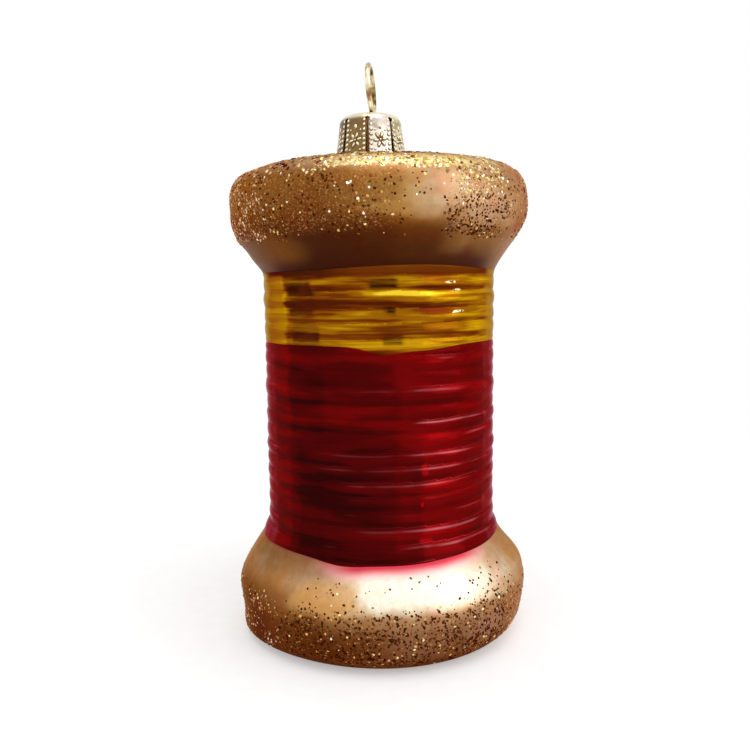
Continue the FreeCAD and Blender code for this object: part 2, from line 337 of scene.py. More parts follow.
class Recipe(Tree):
    """A Geometry Nodes tree with a geometry input and output and further named inputs."""

    def __init__(self, name, inputs):
        group = bpy.data.node_groups.new(name, "GeometryNodeTree")
        for label, kind in {"Geometry": "Geometry", **inputs}.items():
            group.interface.new_socket(label, in_out="INPUT", socket_type=f"NodeSocket{kind}")
        group.interface.new_socket("Geometry", in_out="OUTPUT", socket_type="NodeSocketGeometry")
        super().__init__(group)
        self.given = self.add("NodeGroupInput").outputs
        self.place = self.add("GeometryNodeInputPosition").outputs[0]

    def attribute(self, name, kind="FLOAT"):
        return self.add("GeometryNodeInputNamedAttribute", {"Name": name}, data_type=kind).outputs[0]

    def store(self, geometry, name, value, domain="POINT"):
        inputs = {"Geometry": geometry, "Name": name, "Value": value}
        return self.add("GeometryNodeStoreNamedAttribute", inputs, data_type="FLOAT",
                        domain=domain).outputs[0]

    def moved(self, geometry, **where):
        return self.add("GeometryNodeSetPosition", {"Geometry": geometry, **where}).outputs[0]

    def on_points(self, points, shape, **inputs):
        return self.add("GeometryNodeInstanceOnPoints", {
            "Points": points, "Instance": shape, **inputs}).outputs[0]

    def real(self, geometry):
        return self.add("GeometryNodeRealizeInstances", {"Geometry": geometry}).outputs[0]

    def end(self, geometry):
        painted = self.add("GeometryNodeSetMaterial", {
            "Geometry": self.real(geometry), "Material": self.given["Material"]})
        self.add("NodeGroupOutput", {"Geometry": painted.outputs[0]})
        return self.tree


# ---------------------------------------------------------------- meshes and pieces

def linked(name, data):
    """A new object of the scene."""
    new = bpy.data.objects.new(name, data)
    bpy.context.scene.collection.objects.link(new)
    return new


def finished(name, mesh, material, body, *nodes, smooth=True):
    """A finished mesh that rides on a body and stands for nodes of the frame."""
    mesh.validate()
    mesh.polygons.foreach_set("use_smooth", [smooth] * len(mesh.polygons))
    if material:
        mesh.materials.append(material)
    piece = linked(name, mesh)
    if body:
        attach(piece, body)
    if nodes:
        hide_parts(*nodes)
    return piece


def piece_of(name, points, faces, material=None, body=None, *nodes, smooth=True):
    mesh = bpy.data.meshes.new(name)
    mesh.from_pydata([tuple(p) for p in points], [], faces)
    return finished(name, mesh, material, body, *nodes, smooth=smooth)


def baked(piece, name):
    """What a piece's modifiers make of it, as a plain mesh; the piece itself goes."""
    ready = piece.evaluated_get(bpy.context.evaluated_depsgraph_get())
    mesh = bpy.data.meshes.new_from_object(ready)
    mesh.name = name
    mesh.materials.clear()
    source = piece.data
    bpy.data.objects.remove(piece)
    bpy.data.meshes.remove(source)
    return mesh


def through_recipe(piece, tree, inputs, name, body, *nodes, smooth=True):
    """Run a Geometry Nodes tree on a piece and keep what it makes as a plain mesh."""
    modifier = piece.modifiers.new("recipe", "NODES")
    modifier.node_group = tree
    for item in tree.interface.items_tree:
        if item.item_type == "SOCKET" and item.in_out == "INPUT" and item.name in inputs:
            modifier[item.identifier] = inputs[item.name]
    return finished(name, baked(piece, name), inputs["Material"], body, *nodes, smooth=smooth)


def give_attribute(mesh, name, values, kind="FLOAT"):
    attribute = mesh.attributes.new(name, kind, "POINT")
    field = "vector" if kind == "FLOAT_VECTOR" else "value"
    attribute.data.foreach_set(field, np.asarray(values, np.float32).ravel())


def spun_faces(rows, columns):
    """Quads between rows of points that go round; row by row outwards and upwards."""
    row, column = np.meshgrid(np.arange(rows - 1), np.arange(columns), indexing="ij")
    near = row * columns + column
    far = row * columns + (column + 1) % columns
    return np.stack([near, far, far + columns, near + columns], -1).reshape(-1, 4).tolist()


# ---------------------------------------------------------------- the spool's shape

def fade(value, low, high):
    """From 0 to 1 while value goes from low to high, smooth at both ends."""
    share = np.clip((value - low) / (high - low), 0, 1)
    return share * share * (3 - 2 * share)


def hump(value, middle, width):
    """A rounded bump that is one in its middle."""
    return np.exp(-((value - middle) / width) ** 2)


def swell(azimuth, middle, width):
    """A rounded bump round one azimuth."""
    return hump((azimuth - middle + 180) % 360 - 180, 0, width)


def red_foot(azimuth):
    """Height of the red lacquer's lower edge, which was painted by hand and isn't level."""
    wave = (-0.5 * swell(azimuth, 8, 26) + 0.4 * swell(azimuth, 76, 18) - 0.3 * swell(azimuth, -100, 30)
            - 0.5 * swell(azimuth, -18, 12) + 0.45 * swell(azimuth, 170, 40))
    return (16.9 + wave) * MM


def colour_border(azimuth, level):
    """Height at which the red meets the gold."""
    dip = (0.95 * swell(azimuth, 1, 10) + 0.75 * swell(azimuth, 19, 17)
           + 0.5 * swell(azimuth, 150, 25) + 0.6 * swell(azimuth, -115, 18))
    return level - dip * MM


def gold_head(azimuth):
    """Height of the gold lacquer's upper edge."""
    return (61.2 + 0.75 * swell(azimuth, 16, 40) + 0.8 * swell(azimuth, -160, 40)) * MM


def rounded_corner(radius, across, along, squareness, steps=60):
    """A quarter of a superellipse, from the end face to the widest place, as radius and depth."""
    turn = np.linspace(0, math.pi / 2, steps)
    return (radius - across * (1 - np.sin(turn) ** (2 / squareness)),
            along * (1 - np.cos(turn) ** (2 / squareness)))


def hollow_curve(start, end, pull_start, pull_end, steps=90):
    """An S curve between two places, upright at both; each pull is the height it leaves towards."""
    t = np.linspace(0, 1, steps)
    weights = ((1 - t) ** 3, 3 * t * (1 - t) ** 2, 3 * t * t * (1 - t), t ** 3)
    corners = (start, (start[0], pull_start), (end[0], pull_end), end)
    return [sum(w * corner[axis] for w, corner in zip(weights, corners)) for axis in (0, 1)]


def spool_outline(sizes):
    """Radius and height along the outside of the glass, from the base's rim to the top's rim."""
    low, high, barrel = sizes.lower_radius, sizes.upper_radius, sizes.barrel_radius
    top, low_depth, high_depth = sizes.height, 8.33 * MM, 7.52 * MM
    low_r, low_z = rounded_corner(low, 5.5 * MM, low_depth, 2.24)
    high_r, high_z = rounded_corner(high, 5.7 * MM, high_depth, 2.45)
    waist_r, waist_z = hollow_curve((low, low_depth), (barrel, 20.06 * MM), 11.66 * MM, 17.12 * MM)
    slope_r, slope_z = hollow_curve((barrel + 0.06 * MM, 59.93 * MM), (high, top - high_depth),
                                    62.94 * MM, 67.79 * MM)
    return (np.concatenate([low_r, waist_r[1:], slope_r, high_r[::-1][1:]]),
            np.concatenate([low_z, waist_z[1:], slope_z, (top - high_z)[::-1][1:]]))


def evenly(radius, height, step, wide_step, hidden):
    """The outline again with even steps, wider ones between the two hidden heights."""
    along = np.concatenate([[0], np.cumsum(np.hypot(np.diff(radius), np.diff(height)))])
    places, place = [0.0], 0.0
    while place < along[-1]:
        at = np.interp(place, along, height)
        place += wide_step if hidden[0] < at < hidden[1] else step
        places.append(min(place, along[-1]))
    return np.interp(places, along, radius), np.interp(places, along, height)


def outward_of(radius, height):
    """The outline's own normals, as radius and height parts."""
    across, up = np.gradient(radius), np.gradient(height)
    length = np.hypot(across, up)
    return up / length, -across / length


# ---------------------------------------------------------------- finishes

def flange_lacquer():
    """Satin champagne lacquer over silvered glass, with painted shade under the slopes and pale painted
    highlights above them.
    """
    f = Finish("champagne_lacquer")
    drift = f.drift(f.noise(f.millimetres, 0.16, 3))
    height = f.plus(f.up, f.times(drift, 1.2))
    around = f.plus(f.around, f.times(drift, 9))
    on_upper = f.between(f.up, 30, 50)
    # The dark ramp holds painted shade under the upper flange and grows darker towards the base;
    # the light ramp holds painted highlights, cream on the upper slope of the lower flange.
    deep = f.over_height(height, [
        (0, WALNUT), (2, (106, 62, 28)), (6.5, (116, 72, 36)), (10, TAN), (12.5, HONEY), (16, TAN),
        (19, BRONZE), (60.5, UMBER), (63, (68, 26, 3)), (65.5, (74, 34, 5)), (68, (98, 54, 16)),
        (71, (120, 72, 24)), (75, TAN), (77.6, HONEY), (78.6, TAN)])
    painted_lit_tones = f.over_height(height, [
        (0, BRONZE), (2.5, (130, 84, 56)), (7, (146, 102, 70)), (9.2, (176, 132, 92)), (10.6, PEARL),
        (13, CREAM), (16, PEARL), (18, ROSE), (60.5, WALNUT), (64, WALNUT), (67, BRONZE), (69.6, HONEY),
        (71.5, CHAMPAGNE), (76, CHAMPAGNE), (77.4, PEARL), (78.6, HONEY)])
    # Ramps by azimuth mix the two as painted light, strongest from the front round to the right.
    lower_painted_light = f.over_turn(around, [
        (-90, 0.4), (-65, 0.2), (-48, 0.06), (-27, 0.2), (-11, 0.86), (18, 1.0), (44, 0.9), (60, 0.6),
        (90, 0.4)])
    upper_painted_light = f.over_turn(around, [
        (-90, 0.6), (-66, 0.4), (-46, 0.14), (-22, 0.08), (-4, 0.3), (14, 0.76), (42, 0.86), (62, 0.7),
        (90, 0.6)])
    f.colour = f.blend(f.blend(on_upper, lower_painted_light, upper_painted_light), deep, painted_lit_tones)

    # painted highlights on a glitter-free patch, on pale places and on the sides, and painted shade on
    # the slope under the upper flange
    # a painted highlight on the upper flange where it has no glitter
    lit_bare_patch = f.any_of(f.patch(around, height, (18, 71.3), (13, 3.3)),
                    f.times(f.patch(around, height, (6, 69.9), (15, 1.2)), 0.6))
    f.lay(lit_bare_patch, (204, 172, 134), 0.7)
    # painted sheen towards both sides of the flanges, by height
    left_side = f.blend(on_upper, f.window(f.around, -96, -72, 12), f.window(f.around, -98, -83, 7))
    painted_side_sheen = f.over_height(f.up, [
        (0, (212, 176, 158)), (8, (200, 160, 132)), (14, (194, 152, 112)), (60, (170, 128, 90)),
        (67, (194, 150, 118)), (74, (214, 170, 148))])
    f.lay(f.any_of(left_side, f.window(f.around, 60, 96, 14)), painted_side_sheen, 0.66)
    # a painted lighter reflection under the upper flange on the left
    f.lay(f.patch(f.around, f.up, (-58, 64.2), (33, 4.6)), (130, 92, 40), 0.8)
    # painted light on the right of the upper flange, with a painted highlight in it
    f.lay(f.zone(f.around, (27, 80, 7), height, (64, 72.5, 1.6)), CHAMPAGNE, 0.34)
    f.lay(f.zone(f.around, (31, 60, 6), height, (67.6, 72.2, 1)), (228, 192, 158), 0.4)
    f.lay(f.patch(f.around, height, (25, 74), (7, 2.8)), (236, 208, 168), 0.36)
    # a painted pink reflection at the far right of the upper flange
    f.lay(f.zone(around, (64, 82, 7), height, (64.5, 74, 2)), (172, 122, 118), 0.45)
    # painted light low on the right of the lower flange; on its left a painted sheen at the edge and
    # painted shade over it
    f.lay(f.zone(f.around, (36, 78, 10), f.up, (1.5, 8.6, 1.4)), (196, 160, 140), 0.4)
    f.lay(f.zone(f.around, (-78, -60, 10), f.up, (1.5, 10.5, 1.8)), (138, 104, 66), 0.45)
    f.dye(f.zone(f.around, (-82, -50, 8), f.up, (1, 17, 2)), (226, 226, 228))
    # painted shade on the flange just above the gold thread, weaker at the sides
    near_gold = f.times(f.between(f.up, 61.4, 63.8, 0.9, 0), f.between(f.up, 40, 50))
    f.lay(f.times(near_gold, f.between(f.sum("ABSOLUTE", f.around), 48, 64, 1, 0.1)), (60, 22, 2))
    # the painted shade under the upper flange made warmer, more so on the left
    slope = f.window(f.up, 58, 67, 1.5)
    f.dye(f.times(slope, 0.85), (255, 232, 170))
    f.dye(f.times(slope, 0.85, f.window(f.around, -80, -40, 8)), (250, 238, 104))
    f.dye(f.zone(f.around, (-74, 12, 8), f.up, (66, 75.6, 1.5)), (248, 232, 168))
    f.dye(0.7, f.ramp(f.noise(f.millimetres, 0.2, 2), [(0.3, (255, 232, 196)), (0.5, 1.0),
                                                       (0.7, (255, 222, 210))]))
    # painted shade low on the front and left of the lower flange
    f.dye(f.zone(f.around, (-62, -4, 9), f.up, (3, 11.6, 1.4)), (238, 226, 196))
    f.dye(f.zone(f.around, (-34, 2, 10), f.up, (2.5, 7.2, 1.2)), (220, 194, 152))

    # the painted white highlight on the lower flange, and the painted reflection of the red thread in the
    # slope below it
    painted_gleam = f.times(f.between(around, -13.5, -8.5), f.between(around, 30, 52, 1, 0),
                    f.window(height, 10.6, 16.5, 1.1))
    f.lay(painted_gleam, (255, 251, 232), 0.95)
    # the painted highlight's cream tail on its left
    f.lay(f.patch(around, height, (-22, 11.6), (17, 3.2)), (222, 166, 98), 0.7)
    mottle = f.noise(f.millimetres, 0.9, 4, 0.6)
    f.dye(0.3, f.ramp(mottle, [(0.32, (206, 180, 154)), (0.66, 1.0)]))
    # a painted reflection of the red thread: crimson at its edge, pink below, fading into the highlight
    # at the front, thin on the left
    ragged = f.plus(f.attribute("below_red"), f.times(drift, 0.3))
    front = f.window(f.around, -22, 46, 12)
    f.lay(f.times(f.between(ragged, 0.7, 2.6, 0.85, 0), front), (250, 176, 178))
    f.lay(f.times(f.between(ragged, 0.2, 1.5, 0.95, 0), front), (204, 38, 64))
    f.lay(f.times(f.between(ragged, 0, 0.5, 0.7, 0), f.window(f.around, -75, -24, 10)), (146, 76, 74))

    # what is too fine for flakes of its own: sand, and the dust of the glitter
    sand = f.noise(f.millimetres, 3.2, 3, 0.7)
    sandy = f.times(f.any_of(f.window(around, -52, 4, 8), f.window(around, 26, 62, 7)),
                    f.window(height, 67, 76, 1.2))
    f.lay(f.times(sandy, f.between(sand, 0.54, 0.66, 0, 0.5)), (214, 160, 108))
    f.lay(f.times(sandy, f.between(sand, 0.34, 0.46, 0.5, 0)), (84, 44, 14))
    dust = f.add("ShaderNodeTexVoronoi", {"Vector": f.millimetres, "Scale": 2.7}).outputs
    lot, pick = f.add("ShaderNodeSeparateColor", {0: dust["Color"]}).outputs[:2]
    here = f.between(f.minus(lot, f.times(f.attribute("sprinkle"), 0.7)), -0.06, 0, 1, 0)
    speck = f.times(f.between(dust["Distance"], 0.26, 0.44, 1, 0), here)
    plain = f.ramp(pick, [(0.0, UMBER), (0.5, (92, 46, 16)), (0.66, TAN), (0.9, (206, 156, 96))],
                   "LINEAR")
    coppery = f.ramp(pick, [(0.0, (96, 56, 32)), (0.3, (156, 108, 74)), (0.6, (208, 160, 122)),
                            (1.0, (242, 206, 174))], "LINEAR")
    # pale specks on the crown, a painted highlight where the top catches the light
    crown = f.ramp(pick, [(0.0, (206, 164, 84)), (0.3, (246, 218, 128)), (0.7, (255, 242, 180)),
                          (1.0, CREAM)], "LINEAR")
    at_sides = f.any_of(f.window(f.around, -96, -44, 8), f.window(f.around, 54, 96, 8))
    on_crown = f.zone(f.up, (75.6, 77.8, 0.4), f.around, (-26, 50, 8))
    grain = f.blend(on_crown, f.blend(at_sides, plain, coppery), crown)
    # a painted highlight along the rim of the upper flange, brighter and broken like glitter at the front
    f.lay(f.window(f.up, 76.2, 80, 1.1), (206, 182, 160), 0.42)
    sparkling_rim_highlight = f.times(f.zone(f.around, (-14, 40, 7), f.up, (75.9, 77.4, 0.35)),
                    f.between(f.noise(f.millimetres, 1.1, 3), 0.4, 0.54, 0.1, 0.75))
    f.lay(sparkling_rim_highlight, (252, 236, 168))
    f.lay(speck, grain, 0.85)

    from_neck = f.vector("SUBTRACT", f.millimetres, (NECK_X / MM, 0, 0))
    throat = f.vector("LENGTH", f.vector("MULTIPLY", from_neck, (1, 1, 0)))
    f.lay(f.times(f.between(throat, 5, 6, 1, 0), f.between(f.up, 60, 70)), (150, 102, 56))
    dulled = f.between(f.sum("ABSOLUTE", f.around), 46, 62, 0.45, 0.7)
    return f.close(Metallic=f.minus(1, f.times(slope, dulled)), Specular_IOR_Level=0.1,
                   Roughness=f.between(mottle, 0.2, 0.8, 0.36, 0.48), Specular_Tint=(202, 162, 130),
                   Coat_Weight=0.04, Coat_Roughness=0.3, bump=mottle)


def red_lacquer():
    """Transparent deep red lacquer over silver, with painted reflections dark and bright by turns, and
    painted highlights along the ribs.
    """
    f = Finish("red_thread_lacquer")
    winding, strength = f.attribute("winding"), f.attribute("strength")
    drift = f.drift(f.noise(f.millimetres, 0.22, 3))
    around = f.plus(f.around, f.times(drift, 5))
    # painted reflections: dark and bright by turns round the band
    light = f.over_turn(around, [
        (-90, 0.46), (-64, 0.52), (-50, 0.54), (-45, 0.28), (-29, 0.27), (-24, 0.36), (-6, 0.44),
        (4, 0.5), (10, 0.64), (34, 0.62), (60, 0.6), (90, 0.46)])
    streak = f.between(f.streaks(2.6, 3), 0.36, 0.66, -0.14, 0.16)
    # painted light on the ribs: lighter on the flank that faces up, painted shade from each valley up the
    # flank that faces down
    flank = f.times(f.window(winding, 0.52, 0.92, 0.08), strength, 0.15)
    hollow = f.times(f.window(winding, 0, 0.3, 0.06), strength, 0.18)
    # a painted shadow low on the front and left
    shadow = f.times(f.zone(around, (-42, 18.5, 2.5), f.up, (15, 35, 3)), 0.2)
    light = f.minus(f.plus(light, streak, f.minus(flank, hollow)), shadow)
    f.colour = f.ramp(light, [(0.0, BLACK_CHERRY), (0.3, GARNET), (0.66, RED), (1.0, SCARLET)])
    # painted pale highlights along the ribs where light falls, most on the right
    line = f.times(f.window(winding, 0.72, 0.82, 0.06), f.between(strength, 0.35, 0.75),
                   f.between(f.streaks(1.5, 11), 0.44, 0.6))
    lit = f.any_of(f.window(around, 14, 84, 9), f.times(f.window(around, -26, 12, 8), 0.2),
                   f.window(around, -92, -60, 6))
    f.lay(f.times(line, lit), PINK_HIGHLIGHT, 0.46)
    # a few brighter scarlet spots
    scarlet_spots = f.any_of(*[f.patch(around, f.up, place, reach) for place, reach in (
        ((20, 30.8), (3, 1.2)), ((18.4, 25.3), (1.6, 0.5)), ((20.5, 19.6), (3.4, 0.5)))])
    f.lay(scarlet_spots, (206, 10, 20), 0.36)
    # painted grey-pink reflections towards both sides
    sides = f.any_of(f.window(around, -80, -67, 4), f.window(around, 65, 80, 4), f.times(
        f.any_of(f.window(around, -80, -61, 2.5), f.window(around, 58, 80, 2.5)), 0.6))
    f.lay(f.times(f.between(f.streaks(1.6, 21), 0.34, 0.6, 0.22, 0.78), sides), (148, 104, 104))
    return f.close(Metallic=1.0, Roughness=0.24, Specular_Tint=(206, 126, 138), Coat_Weight=0.04,
                   Coat_Roughness=0.08, bump=f.noise(f.millimetres, 0.7, 2), distance=0.05 * MM)


def gold_lacquer():
    """Transparent golden lacquer over silver, with amber streaks, and painted reflections: bright and
    dark by turns, dark bars and glints.
    """
    f = Finish("gold_thread_lacquer")
    winding, strength = f.attribute("winding"), f.attribute("strength")
    cloud = f.noise(f.millimetres, 0.3, 3)
    drift = f.drift(cloud)
    around = f.plus(f.around, f.times(drift, 4))
    up = f.plus(f.up, f.times(drift, 0.35))
    # painted reflections: bright and dark by turns round the band
    light = f.over_turn(around, [
        (-90, 0.42), (-64, 0.5), (-50, 0.56), (-47, 0.32), (-31, 0.24), (-24, 0.26), (0, 0.36),
        (16, 0.5), (36, 0.54), (60, 0.56), (90, 0.42)])
    streak = f.plus(f.between(f.streaks(1.5, 5), 0.34, 0.66, -0.22, 0.22),
                    f.between(f.streaks(0.45, 9), 0.36, 0.64, -0.09, 0.09))
    # painted light on the ribs: lighter on the flank that faces up, painted shade from each valley up the
    # flank that faces down
    flank = f.times(f.window(winding, 0.5, 0.92, 0.14), 0.1)
    hollow = f.times(f.window(winding, 0, 0.34, 0.1), f.plus(strength, 0.3), 0.24)
    light = f.plus(light, streak, f.minus(flank, hollow))
    # an even painted reflection on the left; painted shade near the top on the left and along one rib all
    # round, with a painted highlight on that rib at the front
    calm = f.times(f.window(around, -66, -50, 2.5), 0.7)
    light = f.plus(light, f.times(calm, f.minus(0.58, light)))
    dim_left = f.between(around, -28, -8, 1, 0.3)
    light = f.minus(light, f.times(f.between(up, 59.6, 61.4, 0, 0.34), dim_left),
                    f.times(f.window(up, 57.2, 58.5, 0.3), 0.12))
    light = f.plus(light, f.times(f.zone(around, (-4, 26, 9), up, (57.3, 58.1, 0.35)), 0.6))
    f.colour = f.ramp(light, [(0.0, BURNT), (0.24, AMBER), (0.46, OLD_GOLD), (0.78, GOLD),
                              (1.0, LEMON)])

    # painted dark reflections: bars, blots and eyes, which lean with the winding
    rows = f.any_of(f.window(up, 57.4, 59.5, 0.25), f.window(up, 54.7, 56.2, 0.25),
                    f.window(up, 50.5, 51.9, 0.25))
    skewed = f.plus(around, f.times(f.minus(f.up, 55), 0.5))
    bars = f.times(f.window(skewed, -46, -30, 1.5), f.between(rows, 0, 1, 0.3, 0.96),
                   f.between(f.streaks(0.5, 8), 0.35, 0.65, 1, 0.8))
    f.lay(bars, f.ramp(cloud, [(0.35, (48, 12, 3)), (0.65, (78, 22, 6))]))
    blots = f.any_of(*[f.patch(around, up, (28, z), (13, 0.9)) for z in (60.3, 55, 50.8)])
    f.lay(f.times(blots, f.between(f.streaks(0.4, 15), 0.36, 0.6, 0.8, 0.2)), (112, 36, 5))
    eyes = f.any_of(*[f.zone(skewed, (4 - wide, 4 + wide, 1.6), up, (z - tall, z + tall, 0.3))
                      for z, wide, tall in ((59.1, 5, 0.8), (55.1, 2.8, 0.6), (50.8, 4.4, 0.75))])
    f.lay(f.times(eyes, f.between(f.streaks(0.35, 31), 0.36, 0.62, 1, 0.5)), (50, 22, 3))
    # painted shade along the top of the gold, under the upper flange, with a frayed edge
    frayed = f.plus(f.up, f.times(f.minus(f.streaks(0.6, 41), 0.5), 3))
    f.lay(f.between(frayed, 59.9, 61.2, 0, 0.9), f.blend(dim_left, (116, 54, 4), (66, 24, 4)))
    # painted glints
    glints = f.any_of(*[f.patch(around, up, place, (4, 0.26))
                        for place in ((34, 59.3), (36, 58.1), (38, 54.9))])
    f.lay(f.times(glints, f.between(f.noise(f.millimetres, 2.2, 2), 0.42, 0.52)), (255, 242, 190))
    # painted pale reflections towards both sides
    sides = f.any_of(f.window(around, -80, -67, 4), f.window(around, 62, 80, 4))
    f.lay(f.times(f.between(f.streaks(1.3, 23), 0.36, 0.6, 0.2, 0.78), sides), (190, 156, 116))
    return f.close(Metallic=1.0, Roughness=0.22, Specular_Tint=(206, 176, 124), Coat_Weight=0.03,
                   Coat_Roughness=0.08, bump=f.noise(f.millimetres, 0.7, 2), distance=0.05 * MM)


def glitter_foil():
    """Cut foil flakes: dark copper, copper, gold and a few nearly white ones; the dark ones are painted
    dark reflections, the white ones painted glints.
    """
    f = Finish("glitter_foil")
    flake = f.attribute("flake")
    dark, brown, copper = (70, 32, 12), (96, 50, 22), (150, 92, 50)
    gold, pale, white = (226, 176, 98), (255, 232, 156), (255, 253, 238)

    def mix(*stops):
        return f.ramp(flake, stops, "CONSTANT")

    mixed = mix((0.0, dark), (0.36, brown), (0.6, copper), (0.74, gold), (0.87, pale), (0.95, white))
    brownish = mix((0.0, dark), (0.52, brown), (0.86, copper), (0.93, gold), (0.97, pale),
                   (0.99, white))
    coppery = mix((0.0, brown), (0.12, (140, 92, 60)), (0.3, (184, 132, 94)), (0.54, (214, 168, 128)),
                  (0.8, (246, 212, 178)))
    bright = mix((0.0, copper), (0.07, (222, 182, 110)), (0.26, (250, 228, 150)),
                 (0.66, (255, 242, 176)), (0.88, white))
    f.colour = f.blend(f.between(f.up, 14, 20), brownish, mixed)
    f.lay(f.zone(f.around, (20, 54, 4), f.up, (60, 71.5, 1)), brownish)
    f.lay(f.any_of(f.window(f.around, -96, -44, 7), f.window(f.around, 54, 96, 6)), coppery)
    # more white flakes round the painted highlight of the lower flange: painted glints
    f.lay(f.any_of(f.patch(f.around, f.up, (-21, 12.6), (13, 4)),
                   f.patch(f.around, f.up, (52, 12.4), (14, 3.6))), mixed)
    # pale flakes on the crown and in one place on the right: painted glints where the light falls
    f.lay(f.any_of(f.zone(f.up, (75.2, 77.8, 0.5), f.around, (-28, 52, 8)),
                   f.times(f.between(f.up, 71.4, 73.4), f.window(f.around, 24, 50, 3))), bright)
    f.dye(0.3, f.ramp(f.noise(f.millimetres, 6), [(0.35, 0.6), (0.65, 1.0)]))
    return f.close(Metallic=1.0, Roughness=0.24, Specular_Tint=(206, 150, 104))


def plated_sheet(plating):
    """Pale gold plating on thin metal, browner or whiter from panel to panel as painted reflections, with
    a painted highlight on top, painted shade on the shoulder and darker at the foot.
    """
    f = Finish("plated_sheet")
    x, y, up = f.split(f.vector("SUBTRACT", f.millimetres, (NECK_X / MM, 0, 0)))
    panel = f.sum("FLOOR", f.sum("DIVIDE", f.plus(f.azimuth_of(x, y), 5), 360 / PANELS))
    pick = f.sum("FRACT", f.times(f.plus(panel, 9), 0.37))
    # each panel browner or whiter as a painted reflection
    tone = f.ramp(pick, [(0.0, plating), (0.2, (248, 238, 230)), (0.5, (92, 74, 44)),
                         (0.65, (222, 212, 172)), (0.9, (124, 96, 44))], "CONSTANT")
    cloud = f.noise(f.millimetres, 0.8, 4)
    # a painted highlight on the top
    f.colour = f.blend(f.between(up, 85.9, 86.7, 0.95, 0), (236, 226, 198), tone)
    # painted shade round the shoulder
    band = f.times(f.window(up, 84.6, 86, 0.5), f.between(cloud, 0.3, 0.6, 0.2, 0.8))
    f.lay(band, f.blend(0.6, f.colour, (110, 78, 66)))
    f.lay(f.between(cloud, 0.5, 0.75, 0, 0.6), (150, 112, 62))
    f.lay(f.between(up, 78.4, 79.6, 0.45, 0), (92, 70, 38))
    scratch = f.noise(f.vector("MULTIPLY", f.millimetres, (9, 9, 1.5)), 1, 4)
    return f.close(Metallic=1.0, Roughness=f.between(scratch, 0.3, 0.7, 0.2, 0.4), bump=scratch,
                   distance=0.01 * MM)


def stamped_bead(plating):
    """The raised marks, pale and mottled, each in a punched recess with painted shade round it."""
    f = Finish("rubbed_stamping")
    bead_mottle = f.noise(f.millimetres, 2.5, 3)
    f.colour = f.ramp(bead_mottle, [(0.3, plating), (0.45, (250, 240, 200)), (0.7, (255, 252, 240))])
    # painted shade in the recess round each mark
    f.lay(f.attribute("hollow"), f.ramp(f.noise(f.millimetres, 1.6, 3), [
        (0.3, (84, 58, 34)), (0.5, (120, 92, 56)), (0.75, (206, 186, 150))]))
    return f.close(Metallic=1.0, Roughness=0.24)


def drawn_wire():
    """Bright drawn wire, in patches from dark brown to near white, the pale ones painted highlights."""
    f = Finish("drawn_wire")
    lines = f.noise(f.vector("MULTIPLY", f.millimetres, (12, 12, 0.6)), 1, 3)
    f.colour = f.ramp(f.noise(f.millimetres, 0.4, 2), [
        (0.34, (72, 50, 28)), (0.46, (158, 126, 76)), (0.56, (232, 216, 172)), (0.7, (252, 246, 224))])
    f.dye(0.35, f.ramp(lines, [(0.3, 0.55), (0.6, 1.0)]))
    return f.close(Metallic=1.0, Roughness=0.2, bump=lines, distance=0.006 * MM)


def seen_rays(tree):
    """One for the rays that show a background: the camera's, and a mirror's or a glass's."""
    rays = tree.add("ShaderNodeLightPath").outputs
    return tree.any_of(rays["Is Camera Ray"], rays["Is Glossy Ray"], rays["Is Transmission Ray"])


def floor_paper():
    """Pale paper that keeps the shadow near the ornament and runs out to white further off."""
    f = Finish("pale_floor")
    paper = f.ramp(f.noise(f.millimetres, 0.4, 4), [(0.3, 0.86), (0.7, 0.9)])
    seen = seen_rays(f)
    diffuse = f.add("ShaderNodeBsdfDiffuse", {"Color": paper}).outputs[0]
    lift = f.add("ShaderNodeEmission", {"Strength": f.times(seen, 0.36)}).outputs[0]
    near = f.add("ShaderNodeAddShader", {0: diffuse, 1: lift}).outputs[0]
    white = f.add("ShaderNodeEmission", {"Strength": f.any_of(seen, 0.6)}).outputs[0]
    away = f.between(f.vector("LENGTH", f.millimetres), 70, 260)
    both = f.add("ShaderNodeMixShader", {0: away, 1: near, 2: white}).outputs[0]
    f.add("ShaderNodeOutputMaterial", {"Surface": both})
    return f.material


# ---------------------------------------------------------------- operators

